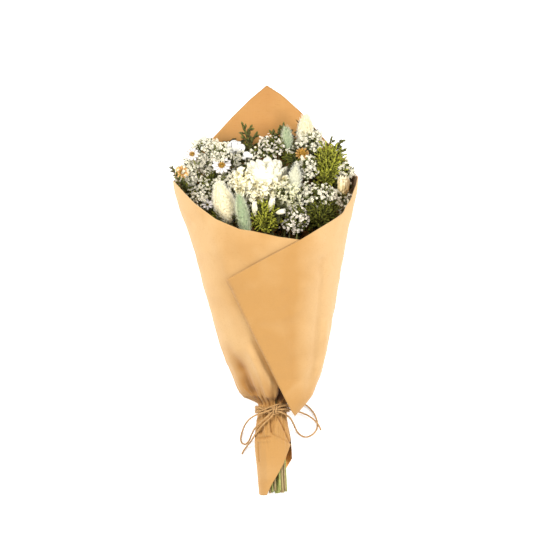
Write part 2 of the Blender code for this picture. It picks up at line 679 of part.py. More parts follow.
def centre_on_base(objects):
    """Move everything so that the origin is the middle of the base of what isn't loose twine."""
    graph = bpy.context.evaluated_depsgraph_get()
    low, high = np.full(3, np.inf), np.full(3, -np.inf)
    for obj in objects:
        if obj.name.startswith(("twine_loop", "twine_end")):
            continue
        evaluated = obj.evaluated_get(graph)
        points = np.array([vertex.co for vertex in evaluated.to_mesh().vertices])
        evaluated.to_mesh_clear()
        low, high = np.minimum(low, points.min(axis=0)), np.maximum(high, points.max(axis=0))
    shift = Vector((-0.5 * (low[0] + high[0]), -0.5 * (low[1] + high[1]), 0.0))
    for obj in bpy.context.scene.objects:
        obj.location += shift


def main():
    clear_scene()
    materials = {name: make_material(name) for name in COLOURS}
    objects = [build_wrap(materials["kraft"])]
    objects.append(build_tube("twine_wraps", twine_coil_points(), TWINE_RADIUS, materials["jute"]))
    objects.append(build_knot(materials["jute"]))
    for name, route in (("twine_loop_left", LOOP_LEFT), ("twine_end_left", END_LEFT),
                        ("twine_loop_right", LOOP_RIGHT), ("twine_end_right", END_RIGHT)):
        points = smooth_route(route, CORD_POINT_STEP)
        objects.append(build_tube(name, points, TWINE_RADIUS, materials["jute"]))
    objects.append(build_band(materials["raffia"]))
    flowers = [Flower(row) for row in FLOWERS]
    route_stems(flowers)
    for flower in flowers:
        objects.append(build_flower(flower, flowers, materials[flower.finish]))
    centre_on_base(objects)


main()
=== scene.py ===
"""Looks of a mixed flower bouquet in kraft paper, tied with a twine bow and lying on its back.

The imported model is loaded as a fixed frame.  Every stem, head, sheet and cord of it is
replaced by a finely modelled piece that sits where the frame says.
"""

import logging
import math
import random
from dataclasses import dataclass, field
from enum import Enum
from typing import Any, Callable, Iterable, Sequence

import bmesh
import bpy
import numpy as np
from bpy.types import Curve, ID, Material, Mesh, Node, NodeSocket, NodeTree, Object
from mathutils import Matrix, Vector, noise


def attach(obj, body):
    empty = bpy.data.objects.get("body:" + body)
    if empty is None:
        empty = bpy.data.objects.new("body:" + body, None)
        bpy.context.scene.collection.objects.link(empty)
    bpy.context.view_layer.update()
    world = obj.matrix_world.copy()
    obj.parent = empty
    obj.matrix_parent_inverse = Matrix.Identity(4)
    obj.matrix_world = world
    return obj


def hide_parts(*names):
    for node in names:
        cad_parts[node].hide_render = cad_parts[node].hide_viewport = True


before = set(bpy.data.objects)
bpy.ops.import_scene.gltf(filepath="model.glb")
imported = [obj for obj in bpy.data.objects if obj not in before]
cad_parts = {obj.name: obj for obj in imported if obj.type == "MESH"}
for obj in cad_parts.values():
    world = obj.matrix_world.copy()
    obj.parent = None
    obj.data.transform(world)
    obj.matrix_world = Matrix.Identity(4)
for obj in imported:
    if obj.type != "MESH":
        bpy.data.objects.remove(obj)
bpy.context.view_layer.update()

MM = 0.001
ROOT = "root"
LOG = logging.getLogger("bouquet")
Colour = tuple[float, float, float]
Point = tuple[float, float, float]
Twigs = list[tuple[Vector, Vector, float, float]]  # start, end and the radius at both


# ---- Where the frame puts things ----


def read(items: Any, name: str, kind: type, width: int = 1) -> np.ndarray:
    """One property of all the points, corners or faces of a mesh.

    Args:
        items: the mesh's points, corners or faces.
        name: the property.
        kind: type of its numbers.
        width: how many numbers each item has.

    Returns:
        All the numbers in one row.
    """
    values = np.empty(len(items) * width, dtype=kind)
    items.foreach_get(name, values)
    return values


# The wrap's own coordinates start at the tip of its tail; the frame's start at its middle.
SHIFT = Vector((-0.38, -225.73, 0.0)) * MM
TIE = (9.0, 95.0, 19.5)  # middle of the neck where the twine holds it, in those coordinates


def place(point: Sequence[float]) -> Vector:
    """A point given in millimetres from the tail's tip, in the frame's metres."""
    return Vector(point) * MM + SHIFT


def round_way(across: Vector, rise: Vector, angle: float) -> Vector:
    """The direction at an angle from across towards rise."""
    return across * math.cos(angle) + rise * math.sin(angle)


class StemLine:
    """The line of one cut stem and the head on it, read from the frame's node.

    Attributes:
        rings: centres of the stem from its cut end up to the head.
        radius: the stem's radius.
        centre: middle of the head.
        half: half sizes of the head across X, Y and Z.
        axis: direction in which the head is longest.
        across: level direction across the axis.
        rise: direction square to both.
        reach: half length of the head along its axis.
        girth: half its width.
    """

    HEAD_FROM = 250 * MM
    RING_STEP = 3.0 * MM

    def __init__(self, node: str) -> None:
        """Read the rings and the head from the node's corners."""
        corners = read(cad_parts[node].data.vertices, "co", float, 3)
        points = np.unique(corners.reshape(-1, 3).round(7), axis=0)
        is_stem = points[:, 1] - SHIFT.y < self.HEAD_FROM
        stem, head = points[is_stem], points[~is_stem]
        stem = stem[np.argsort(stem[:, 1])]
        groups = np.split(stem, np.nonzero(np.diff(stem[:, 1]) > self.RING_STEP)[0] + 1)
        self.rings = [Vector(group.mean(axis=0)) for group in groups]
        self.radius = float(np.linalg.norm(groups[1] - groups[1].mean(axis=0), axis=1).mean())
        low, high = head.min(axis=0), head.max(axis=0)
        self.centre, self.half = Vector(0.5 * (low + high)), Vector(0.5 * (high - low))
        spread = head - head.mean(axis=0)
        self.axis = Vector(np.linalg.svd(spread, full_matrices=False)[2][0])
        if self.axis.y < 0:
            self.axis.negate()
        self.reach = float(np.abs(spread @ np.array(self.axis)).max())
        self.across = self.axis.cross(Vector((0.0, 0.0, 1.0))).normalized()
        self.rise = self.across.cross(self.axis)
        self.girth = min(self.half.x, self.half.z)

    def heading(self) -> Vector:
        """Direction of the stem where it meets the head."""
        return (self.centre - self.rings[-1]).normalized()

    def path(self, end: Vector, step: float) -> list[Vector]:
        """Smooth line from the cut end to a point in the head, with points about a step apart."""
        return smooth_line([*self.rings, end], step)


def smooth_line(corners: Sequence[Vector], step: float) -> list[Vector]:
    """A smooth curve through corners.

    Args:
        corners: points that it passes through.
        step: about how far apart its own points are.

    Returns:
        The points.
    """
    padded = [2 * corners[0] - corners[1], *corners, 2 * corners[-1] - corners[-2]]
    result: list[Vector] = []
    for before, start, end, after in zip(padded, padded[1:], padded[2:], padded[3:]):
        count = max(1, round((end - start).length / step))
        for t in (k / count for k in range(count)):
            result.append(0.5 * (2 * start + (end - before) * t
                                 + (2 * before - 5 * start + 4 * end - after) * t * t
                                 + (3 * start - before - 3 * end + after) * t ** 3))
    return [*result, corners[-1].copy()]


# ---- Mesh helpers ----


def new_mesh(name: str, points: Sequence[Sequence[float]], faces: Sequence[Sequence[int]] = (),
             edges: Sequence[Sequence[int]] = ()) -> Mesh:
    """A mesh from points and the faces or edges between them.

    Args:
        name: the mesh's name.
        points: its points.
        faces: the points of each face.
        edges: the points of each loose edge.

    Returns:
        The mesh, smooth all over.
    """
    mesh = bpy.data.meshes.new(name)
    mesh.from_pydata([tuple(p) for p in points], [tuple(e) for e in edges], [tuple(f) for f in faces])
    mesh.update()
    mesh.polygons.foreach_set("use_smooth", [True] * len(mesh.polygons))
    return mesh


def plain(obj: Object) -> Mesh:
    """The mesh that an object's modifiers make; the object is used up."""
    graph = bpy.context.evaluated_depsgraph_get()
    mesh = bpy.data.meshes.new_from_object(obj.evaluated_get(graph), preserve_all_data_layers=True,
                                           depsgraph=graph)
    bpy.data.objects.remove(obj)
    return mesh


def link(name: str, data: ID) -> Object:
    """A new object in the scene that shows data."""
    obj = bpy.data.objects.new(name, data)
    bpy.context.scene.collection.objects.link(obj)
    return obj


def set_float(mesh: Mesh, name: str, values: Iterable[float]) -> None:
    """Store one number for each point of a mesh."""
    mesh.attributes.new(name, "FLOAT", "POINT").data.foreach_set("value", list(values))


POINT_VALUES = ("along", "tint")


def join_meshes(name: str, parts: Sequence[Mesh]) -> Object:
    """One object that holds several meshes, each with its own materials.

    Args:
        name: the object's name.
        parts: the meshes, which are used up.

    Returns:
        The new object.
    """
    materials = list(dict.fromkeys(material for part in parts for material in part.materials))
    points, corners, starts, slots, smooth = [], [], [], [], []
    values: dict[str, list[np.ndarray]] = {key: [] for key in POINT_VALUES}
    point_count = corner_count = 0
    for part in parts:
        points.append(read(part.vertices, "co", np.float32, 3))
        corners.append(read(part.loops, "vertex_index", np.int32) + point_count)
        starts.append(read(part.polygons, "loop_start", np.int32) + corner_count)
        smooth.append(read(part.polygons, "use_smooth", bool))
        own = np.array([materials.index(material) for material in part.materials], dtype=np.int32)
        slots.append(own[np.minimum(read(part.polygons, "material_index", np.int32), len(own) - 1)])
        for key, chunks in values.items():
            layer = part.attributes.get(key)
            stored = layer is not None and layer.domain == "POINT"
            chunks.append(read(layer.data, "value", np.float32) if stored
                          else np.full(len(part.vertices), 0.5, dtype=np.float32))
        point_count += len(part.vertices)
        corner_count += len(part.loops)
    mesh = bpy.data.meshes.new(name)
    mesh.vertices.add(point_count)
    mesh.loops.add(corner_count)
    mesh.polygons.add(sum(map(len, starts)))
    for items, key, chunks in ((mesh.vertices, "co", points), (mesh.loops, "vertex_index", corners),
                               (mesh.polygons, "loop_start", starts), (mesh.polygons, "use_smooth", smooth)):
        items.foreach_set(key, np.concatenate(chunks))
    for key, chunks in values.items():
        set_float(mesh, key, np.concatenate(chunks))
    for material in materials:
        mesh.materials.append(material)
    mesh.polygons.foreach_set("material_index", np.concatenate(slots))
    mesh.update(calc_edges=True)
    for part in parts:
        bpy.data.meshes.remove(part)
    return link(name, mesh)


def ring_faces(rings: int, sides: int) -> list[tuple[int, ...]]:
    """Faces of a closed tube: quads from ring to ring, then its foot and its tip.

    Args:
        rings: number of rings.
        sides: corners of each ring.

    Returns:
        The corners of each face.
    """
    faces: list[tuple[int, ...]] = []
    for low in range(0, (rings - 1) * sides, sides):
        for k in range(sides):
            n = (k + 1) % sides
            faces.append((low + k, low + n, low + n + sides, low + k + sides))
    return [*faces, tuple(reversed(range(sides))), tuple(range((rings - 1) * sides, rings * sides))]


def sweep(name: str, path: Sequence[Vector], radius: Callable[[float], float], sides: int,
          material: Material) -> Mesh:
    """A closed round tube along a path.

    Args:
        name: the mesh's name.
        path: centres of the rings.
        radius: radius for a share from 0 to 1 of the path.
        sides: corners of each ring.
        material: the tube's finish.

    Returns:
        The mesh, with the share of the path stored as the attribute "along".
    """
    points: list[Vector] = []
    shares: list[float] = []
    side = Vector((0.0, 0.0, 1.0)).cross(path[1] - path[0]).normalized()
    for index, point in enumerate(path):
        ahead = (path[min(index + 1, len(path) - 1)] - path[max(index - 1, 0)]).normalized()
        side = (side - ahead * side.dot(ahead)).normalized()
        rise = ahead.cross(side)
        share = index / (len(path) - 1)
        thick = radius(share)
        points += [point + round_way(side, rise, 2 * math.pi * k / sides) * thick for k in range(sides)]
        shares += [share] * sides
    mesh = new_mesh(name, points, ring_faces(len(path), sides))
    set_float(mesh, "along", shares)
    mesh.materials.append(material)
    for polygon in mesh.polygons:
        polygon.use_smooth = len(polygon.vertices) == 4
    return mesh


# ---- Geometry Nodes ----


class NodeKit:
    """Short calls that put a tree of nodes together."""

    def __init__(self, tree: NodeTree) -> None:
        """Work on a tree."""
        self.tree = tree

    def feed(self, socket: NodeSocket, value: Any) -> None:
        """Link an input to a socket, or set its value."""
        if isinstance(value, NodeSocket):
            self.tree.links.new(value, socket)
        else:
            socket.default_value = value

    def add(self, kind: str, inputs: dict[Any, Any] | None = None, **settings: Any) -> Node:
        """Add a node.

        Args:
            kind: the node's type.
            inputs: values or sockets by input name or number.
            settings: the node's own properties.

        Returns:
            The node.
        """
        node = self.tree.nodes.new(kind)
        for name, value in settings.items():
            setattr(node, name, value)
        for name, value in (inputs or {}).items():
            self.feed(node.inputs[name], value)
        return node

    def first(self, kind: str, inputs: dict[Any, Any] | None = None, **settings: Any) -> NodeSocket:
        """Add a node and give its first output."""
        return self.add(kind, inputs, **settings).outputs[0]

    def maths(self, operation: str, *values: Any) -> NodeSocket:
        """One sum on numbers."""
        return self.first("ShaderNodeMath", dict(enumerate(values)), operation=operation)


class Tree(NodeKit):
    """A Geometry Nodes tree with named inputs, a seed and a finish."""

    def __init__(self, name: str) -> None:
        """Start a tree with one geometry in and one out."""
        super().__init__(bpy.data.node_groups.new(name, "GeometryNodeTree"))
        for way in ("INPUT", "OUTPUT"):
            self.tree.interface.new_socket("Geometry", in_out=way, socket_type="NodeSocketGeometry")
        source = self.tree.nodes.new("NodeGroupInput")
        self.given = source.outputs
        self.sink = self.tree.nodes.new("NodeGroupOutput")
        self.give("Finish", "Material")
        self.give("Seed", "Int")

    def give(self, name: str, kind: str) -> NodeSocket:
        """Add a named input of a kind such as Float, and give the socket that carries it."""
        self.tree.interface.new_socket(name, in_out="INPUT", socket_type=f"NodeSocket{kind}")
        return self.given[name]

    def vectors(self, operation: str, first: Any, second: Any) -> NodeSocket:
        """One sum on vectors."""
        return self.first("ShaderNodeVectorMath", {0: first, 1: second}, operation=operation)

    def scaled(self, vector: Any, factor: Any) -> NodeSocket:
        """A vector times a number."""
        return self.first("ShaderNodeVectorMath", {0: vector, "Scale": factor}, operation="SCALE")

    def named(self, name: str, kind: str = "FLOAT") -> NodeSocket:
        """A named attribute of the geometry."""
        return self.first("GeometryNodeInputNamedAttribute", {"Name": name}, data_type=kind)

    def chance(self, low: Any, high: Any, salt: int) -> NodeSocket:
        """A random number for each element.

        Args:
            low: least value.
            high: greatest value.
            salt: number that tells this draw from the tree's others.

        Returns:
            The socket that carries it.
        """
        node = self.add("FunctionNodeRandomValue", data_type="FLOAT")
        ends = {socket.identifier: socket for socket in (*node.inputs, *node.outputs)}
        seed = self.maths("ADD", self.given["Seed"], float(salt))
        for name, value in (("Min_001", low), ("Max_001", high), ("Seed", seed)):
            self.feed(ends[name], value)
        return ends["Value_001"]

    def jitter(self, reach: Any, lowest: Any = None) -> NodeSocket:
        """A random vector for each element, from draws 1 to 3.

        Args:
            reach: most that each part differs from zero.
            lowest: least value of the last part, where that isn't minus the reach.

        Returns:
            The socket that carries it.
        """
        less = self.maths("MULTIPLY", reach, -1.0)
        lows = (less, less, less if lowest is None else lowest)
        return self.first("ShaderNodeCombineXYZ",
                          {k: self.chance(low, reach, k + 1) for k, low in enumerate(lows)})

    def copies(self, shape: Any, points: Any, turn: Any, size: Any) -> NodeSocket:
        """Copies of an object on points, each with its turn and size."""
        copy = self.add("GeometryNodeObjectInfo", {"Object": shape}).outputs["Geometry"]
        return self.first("GeometryNodeInstanceOnPoints",
                          {"Points": points, "Instance": copy, "Rotation": turn, "Scale": size})

    def coat(self, body: Any, shape: Any, density: Any, lean: Any, jitter: Any,
             sizes: tuple[float, float]) -> NodeSocket:
        """Copies of a shape that stand all over a surface.

        Args:
            body: the surface.
            shape: the object.
            density: copies to the square metre.
            lean: what is added to the surface's normal to lean them.
            jitter: what is added to lean each its own way.
            sizes: least and greatest scale.

        Returns:
            The copies.
        """
        spots = self.add("GeometryNodeDistributePointsOnFaces",
                         {"Mesh": body, "Density": density, "Seed": self.given["Seed"]})
        way = self.vectors("ADD", self.vectors("ADD", spots.outputs["Normal"], lean), jitter)
        turn = self.first("FunctionNodeAlignRotationToVector", {"Vector": way}, axis="Z")
        return self.copies(shape, spots.outputs[0], turn, self.chance(*sizes, 4))

    def tinted(self, copies: Any, shade: Any) -> NodeSocket:
        """Copies that carry a shade."""
        return self.first("GeometryNodeStoreNamedAttribute",
                          {"Geometry": copies, "Name": "tint", "Value": shade}, data_type="FLOAT",
                          domain="INSTANCE")

    def close(self, *parts: NodeSocket) -> NodeTree:
        """End the tree: join its parts, make instances real and give them their finish.

        Args:
            parts: what the tree makes.

        Returns:
            The tree.
        """
        both = self.add("GeometryNodeJoinGeometry")
        for part in parts:
            self.tree.links.new(part, both.inputs[0])
        real = self.first("GeometryNodeRealizeInstances", {0: both.outputs[0]})
        self.feed(self.sink.inputs[0], self.first("GeometryNodeSetMaterial",
                                                  {"Geometry": real, "Material": self.given["Finish"]}))
        return self.tree


def grow(tree: NodeTree, source: ID, values: dict[str, Any]) -> Mesh:
    """Run a tree on some data and keep the result as a plain mesh.

    Args:
        tree: the Geometry Nodes tree.
        source: the mesh or curve that it starts from, which is used up.
        values: the tree's inputs by name.

    Returns:
        The mesh.
    """
    obj = link("growing", source)
    modifier = obj.modifiers.new("grow", "NODES")
    modifier.node_group = tree
    for item in tree.interface.items_tree:
        if item.in_out == "INPUT" and item.name in values:
            modifier[item.identifier] = values[item.name]
    return plain(obj)


def copies_tree() -> NodeTree:
    """Copies of a shape on points that carry a turn, a size and a shade, each a little different."""
    tree = Tree("placed_copies")
    shape = tree.give("Shape", "Object")
    size_change = tree.give("Size Change", "Float")
    turn_change = tree.give("Turn Change", "Float")
    turn, wobble = [tree.first("FunctionNodeEulerToRotation", {0: angles})
                    for angles in (tree.named("turn", "FLOAT_VECTOR"), tree.jitter(turn_change))]
    turned = tree.first("FunctionNodeRotateRotation", {0: turn, 1: wobble}, rotation_space="LOCAL")
    smaller = tree.maths("MULTIPLY", size_change, -1.0)
    factor = tree.maths("ADD", tree.chance(smaller, size_change, 4), 1.0)
    copies = tree.copies(shape, tree.given[0], turned, tree.maths("MULTIPLY", tree.named("size"), factor))
    shade = tree.maths("ADD", tree.named("shade"), tree.chance(-0.15, 0.15, 5))
    return tree.close(tree.tinted(copies, shade))


def bristle_tree() -> NodeTree:
    """Fine bristles over a core, swept towards its tip."""
    tree = Tree("bristle_coat")
    shape = tree.give("Bristle", "Object")
    density = tree.give("Density", "Float")
    sweep_axis = tree.give("Sweep", "Vector")
    jitter = tree.jitter(tree.give("Stray", "Float"))
    bristles = tree.coat(tree.given[0], shape, density, sweep_axis, jitter, (0.55, 1.15))
    return tree.close(tree.given[0], tree.tinted(bristles, tree.chance(0.0, 1.0, 5)))


def twig_tree() -> NodeTree:
    """Round twigs along the edges of a skeleton that carries its thickness."""
    tree = Tree("twigs")
    sides, thick = tree.give("Sides", "Int"), tree.named("thick")
    lines = tree.first("GeometryNodeMeshToCurve", {0: tree.given[0]})
    lines = tree.first("GeometryNodeSetCurveRadius", {"Curve": lines, "Radius": thick})
    profile = tree.first("GeometryNodeCurvePrimitiveCircle", {"Resolution": sides, "Radius": 1.0})
    tubes = tree.first("GeometryNodeCurveToMesh", {"Curve": lines, "Profile Curve": profile, "Scale": thick,
                                                   "Fill Caps": True})
    return tree.close(tubes)


def twisted_cord_tree() -> NodeTree:
    """Plies twisted round a line, with loose fibres standing off them."""
    tree = Tree("twisted_cord")
    hair = tree.give("Fibre", "Object")
    ply_radius = tree.give("Ply Radius", "Float")
    ply_offset = tree.give("Ply Offset", "Float")
    twist = tree.give("Twist", "Float")
    step = tree.give("Step", "Float")
    fuzz = tree.give("Fuzz", "Float")
    fine = tree.first("GeometryNodeResampleCurve", {"Curve": tree.given[0], "Length": step}, mode="LENGTH")
    plies = tree.add("GeometryNodeDuplicateElements", {"Geometry": fine, "Amount": 3}, domain="SPLINE")
    phase = tree.maths("MULTIPLY", plies.outputs["Duplicate Index"], 2 * math.pi / 3)
    length = tree.add("GeometryNodeSplineParameter").outputs["Length"]
    angle = tree.maths("ADD", tree.maths("MULTIPLY", length, twist), phase)
    normal = tree.first("GeometryNodeInputNormal")
    side = tree.vectors("CROSS_PRODUCT", tree.first("GeometryNodeInputTangent"), normal)
    offset = tree.vectors("ADD", tree.scaled(normal, tree.maths("COSINE", angle)),
                          tree.scaled(side, tree.maths("SINE", angle)))
    moved = tree.first("GeometryNodeSetPosition",
                       {"Geometry": plies.outputs[0], "Offset": tree.scaled(offset, ply_offset)})
    profile = tree.first("GeometryNodeCurvePrimitiveCircle", {"Resolution": 6, "Radius": ply_radius})
    tube = tree.first("GeometryNodeCurveToMesh",
                      {"Curve": moved, "Profile Curve": profile, "Fill Caps": True})
    return tree.close(tube, tree.coat(tube, hair, fuzz, (0.0, 0.0, 0.0), tree.jitter(2.4, -1.2), (0.4, 1.2)))


# ---- Finishes ----


@dataclass(frozen=True)
class Finish:
    """Look of a plant or cord surface.

    Attributes:
        name: name of the material.
        dark: colour in the hollows and of the darkest pieces.
        light: colour of the lightest pieces.
        tip: colour reached at the end of each piece, where "along" is 1.
        tip_from: share of the piece at which the tip colour begins.
        grain: size of the mottling, in metres.
        roughness: mean roughness.
        bump: depth of the fine relief, in metres.
        sheen: weight of the soft sheen.
        tip_shade: brightness of the tips of the darkest pieces.
    """

    name: str
    dark: Colour
    light: Colour
    tip: Colour
    tip_from: float = 0.5
    grain: float = 2 * MM
    roughness: float = 0.75
    bump: float = 0.05 * MM
    sheen: float = 0.0
    tip_shade: float = 0.78


class Shader(NodeKit):
    """A material, put together by short calls."""

    def __init__(self, name: str) -> None:
        """Start a material with its shader and coordinates."""
        self.material = bpy.data.materials.new(name)
        self.material.use_nodes = True
        super().__init__(self.material.node_tree)
        self.surface = self.tree.nodes["Principled BSDF"]
        self.coords = self.add("ShaderNodeTexCoord").outputs["Object"]

    def noise(self, size: float, detail: float = 3.0, stretch: Point = (1.0, 1.0, 1.0)) -> NodeSocket:
        """Noise on the piece, its spots about size metres large and drawn out where stretch is under 1."""
        mapped = self.first("ShaderNodeMapping", {"Vector": self.coords, "Scale": stretch})
        return self.first("ShaderNodeTexNoise", {"Vector": mapped, "Scale": 0.6 / size, "Detail": detail})

    def value(self, name: str) -> NodeSocket:
        """A number stored on the mesh."""
        return self.add("ShaderNodeAttribute", attribute_name=name).outputs["Fac"]

    def spread(self, *values: Any) -> NodeSocket:
        """Stretch a range of numbers onto another: the number, its range, and the new one if not 0 to 1."""
        return self.first("ShaderNodeMapRange", dict(enumerate(values)))

    def mix(self, factor: Any, first: Any, second: Any) -> NodeSocket:
        """Two colours or sockets mixed; factor is the share of the second."""
        first, second = [(*side, 1.0) if isinstance(side, tuple) else side for side in (first, second)]
        return self.add("ShaderNodeMix", {0: factor, 6: first, 7: second}, data_type="RGBA").outputs[2]

    def relief(self, height: NodeSocket, depth: float) -> None:
        """Use a height as fine relief, depth metres deep."""
        self.set(Normal=self.first("ShaderNodeBump", {"Height": height, "Distance": depth, "Strength": 1.0}))

    def set(self, **values: Any) -> None:
        """Set or link the surface's inputs."""
        for name, value in values.items():
            self.feed(self.surface.inputs[name.replace("_", " ")], value)


def plant_material(finish: Finish) -> Material:
    """Material of a plant part or cord.

    Args:
        finish: its look.

    Returns:
        The material.
    """
    shader = Shader(finish.name)
    mottled = shader.spread(shader.noise(finish.grain), 0.3, 0.7)
    # each copy's stored value is a random tone, and for florets and evergreen scales also painted shade by
    # where they lie; darker pieces also get darker tips
    both = shader.maths("ADD", shader.maths("MULTIPLY", shader.value("tint"), 0.6),
                        shader.maths("MULTIPLY", mottled, 0.4))
    ends = shader.spread(shader.value("along"), finish.tip_from, 1.0)
    tip = shader.mix(both, tuple(finish.tip_shade * channel for channel in finish.tip), finish.tip)
    rough = shader.spread(shader.noise(0.4 * finish.grain), 0.2, 0.8, finish.roughness - 0.12,
                          finish.roughness + 0.12)
    shader.relief(shader.noise(0.35 * finish.grain, 4.0, (1.0, 0.35, 1.0)), finish.bump)
    shader.set(Base_Color=shader.mix(ends, shader.mix(both, finish.dark, finish.light), tip), Roughness=rough,
               Sheen_Weight=finish.sheen, Sheen_Roughness=0.5, Specular_IOR_Level=0.25)
    return shader.material


@dataclass(frozen=True)
class PaperFinish:
    """Look of one face of the kraft sheet.

    Attributes:
        name: name of the material.
        pale: colour where the sheet is lightest.
        warm: painted shade, a warmer and darker orange, where "warm" is 1.
        fibre: colour of the scattered darker fibres.
        deep: painted shade in the folds, where "deep" is 1.
        black_shade: painted shade in the darkest openings, where "deep" is 2.
        lit: painted light, as if light came through the sheet, where "lit" is 1.
    """

    name: str
    pale: Colour
    warm: Colour
    fibre: Colour
    deep: Colour
    black_shade: Colour = (0.10, 0.038, 0.008)
    lit: Colour = (0.40, 0.23, 0.09)


def paper_material(finish: PaperFinish) -> Material:
    """Kraft paper: soft clouds, fine ribs along the roll, short fibres and crumple marks, with painted shade
    and painted light over them.

    Args:
        finish: its look.

    Returns:
        The material.
    """
    shader = Shader(finish.name)
    clouds = shader.spread(shader.noise(28 * MM, 2.0), 0.35, 0.65, -0.22, 0.22)
    # painted shade: a warmer, darker orange where the mesh marks the sheet as shaded, broken up by soft
    # clouds
    base = shader.mix(shader.maths("ADD", shader.value("warm"), clouds), finish.pale, finish.warm)
    ribs = shader.noise(0.9 * MM, 2.0, (1.0, 0.03, 1.0))
    fibres = shader.noise(0.7 * MM, 3.0, (0.18, 1.0, 1.0))
    specks = shader.noise(0.5 * MM, 1.0)
    for pattern, low, high, most, colour in ((ribs, 0.45, 0.75, 0.10, finish.fibre),
                                             (fibres, 0.62, 0.74, 0.35, finish.fibre),
                                             (specks, 0.70, 0.78, 0.30, finish.pale)):
        base = shader.mix(shader.spread(pattern, low, high, 0.0, most), base, colour)
    # painted light where the mesh marks it, then painted shade in the folds, darkening on to the darkest
    # colour in openings
    deep = shader.value("deep")
    for factor, colour in ((shader.value("lit"), finish.lit), (deep, finish.deep),
                           (shader.maths("ADD", deep, -1.0), finish.black_shade)):
        base = shader.mix(factor, base, colour)
    crumple = shader.maths("MULTIPLY", shader.noise(9 * MM, 5.0), 3.0)
    shader.relief(shader.maths("ADD", crumple, shader.maths("ADD", fibres, ribs)), 0.09 * MM)
    shader.set(Base_Color=base, Roughness=shader.spread(fibres, 0.3, 0.7, 0.62, 0.80), Sheen_Weight=0.12,
               Sheen_Roughness=0.6, Specular_IOR_Level=0.28)
    return shader.material


# ---- Studio ----


@dataclass
class Studio:
    """Camera, lights and the white surface that the bouquet lies on.

    Attributes:
        aim: point that the camera looks straight down at.
        distance: height of the camera over it.
        field: width of the picture at that height.
    """

    aim: Point = (7.3 * MM, 21.8 * MM, 40 * MM)
    distance: float = 8.0
    field: float = 0.596

    sensor: float = 36.0
    floor_half: float = 6.0
    world_light: float = 0.66
    # position, size across, power and colour of each soft light
    LIGHTS = (((-1.7, 0.25, 1.5), 0.8, 49.0, (1.0, 0.97, 0.93)),
              ((1.7, 0.10, 1.4), 0.8, 45.0, (1.0, 0.98, 0.96)),
              ((-0.3, 0.9, 2.1), 0.6, 26.0, (1.0, 1.0, 1.0)),
              ((0.9, -1.8, 0.55), 0.7, 11.0, (1.0, 0.97, 0.93)))

    def build(self) -> None:
        """Place everything."""
        self.camera()
        for place_at, size, power, colour in self.LIGHTS:
            self.light(Vector(place_at), size, power, colour)
        self.world()
        self.floor()

    def camera(self) -> None:
        """A long lens straight above the bouquet, with its head end at the top of the picture."""
        data = bpy.data.cameras.new("camera")
        data.sensor_width = self.sensor
        data.lens = self.sensor * self.distance / self.field
        data.clip_end = 50.0
        data.dof.use_dof = False
        camera = link("camera", data)
        camera.location = Vector(self.aim) + Vector((0.0, 0.0, self.distance))
        bpy.context.scene.camera = camera

    def light(self, position: Vector, size: float, power: float, colour: Colour) -> None:
        """One square soft light aimed at the middle of the bouquet."""
        data = bpy.data.lights.new("soft_light", "AREA")
        data.size = size
        data.energy = power
        data.color = colour
        light = link("soft_light", data)
        light.location = position
        light.rotation_euler = (position - Vector(self.aim)).to_track_quat("Z", "Y").to_euler()

    def world(self) -> None:
        """Even white surroundings and a plain view of the colours."""
        scene = bpy.context.scene
        scene.world = bpy.data.worlds.new("surroundings")
        scene.world.use_nodes = True
        background = scene.world.node_tree.nodes["Background"]
        background.inputs["Color"].default_value = (1.0, 1.0, 1.0, 1.0)
        background.inputs["Strength"].default_value = self.world_light
        scene.view_settings.view_transform = "Standard"
        scene.view_settings.look = "None"

    def floor(self) -> None:
        """The white surface, faintly mottled like card."""
        half = self.floor_half
        mesh = new_mesh("floor", [(-half, -half, 0), (half, -half, 0), (half, half, 0), (-half, half, 0)],
                        [(0, 1, 2, 3)])
        floor = link("floor", mesh)
        floor.location.z = -0.4 * MM
        shader = Shader("white_card")
        shader.set(Base_Color=shader.mix(shader.noise(40 * MM), (0.80, 0.80, 0.80), (0.83, 0.83, 0.83)),
                   Roughness=0.9, Specular_IOR_Level=0.1, Emission_Color=(1.0, 1.0, 1.0, 1.0),
                   Emission_Strength=0.35)
        mesh.materials.append(shader.material)


# ---- Wrap ----


class SmoothTable:
    """Rows of numbers against a height, joined by monotone cubic curves."""

    SAMPLES = 2400

    def __init__(self, rows: Sequence[Sequence[float]]) -> None:
        """Sample each column finely once."""
        table = np.array(rows, dtype=float)
        self.at = np.linspace(table[0, 0], table[-1, 0], self.SAMPLES)
        self.columns = [self.curve(table[:, 0], table[:, k]) for k in range(1, table.shape[1])]

    def curve(self, at: np.ndarray, values: np.ndarray) -> np.ndarray:
        """Monotone cubic through the values, sampled at self.at."""
        step = np.diff(at)
        slope = np.diff(values) / step
        tangent = np.zeros(len(values))
        tangent[0], tangent[-1] = slope[0], slope[-1]
        for k in range(1, len(slope)):
            if slope[k - 1] * slope[k] > 0:
                before, after = 2 * step[k] + step[k - 1], step[k] + 2 * step[k - 1]
                tangent[k] = (before + after) / (before / slope[k - 1] + after / slope[k])
        index = np.clip(np.searchsorted(at, self.at, side="right") - 1, 0, len(step) - 1)
        t = (self.at - at[index]) / step[index]
        h = step[index]
        return ((1 + 2 * t) * (1 - t) ** 2 * values[index] + t * (1 - t) ** 2 * h * tangent[index]
                + t * t * (3 - 2 * t) * values[index + 1] + t * t * (t - 1) * h * tangent[index + 1])

    def __call__(self, y: np.ndarray) -> list[np.ndarray]:
        """Every column at heights y."""
        return [np.interp(y, self.at, column) for column in self.columns]


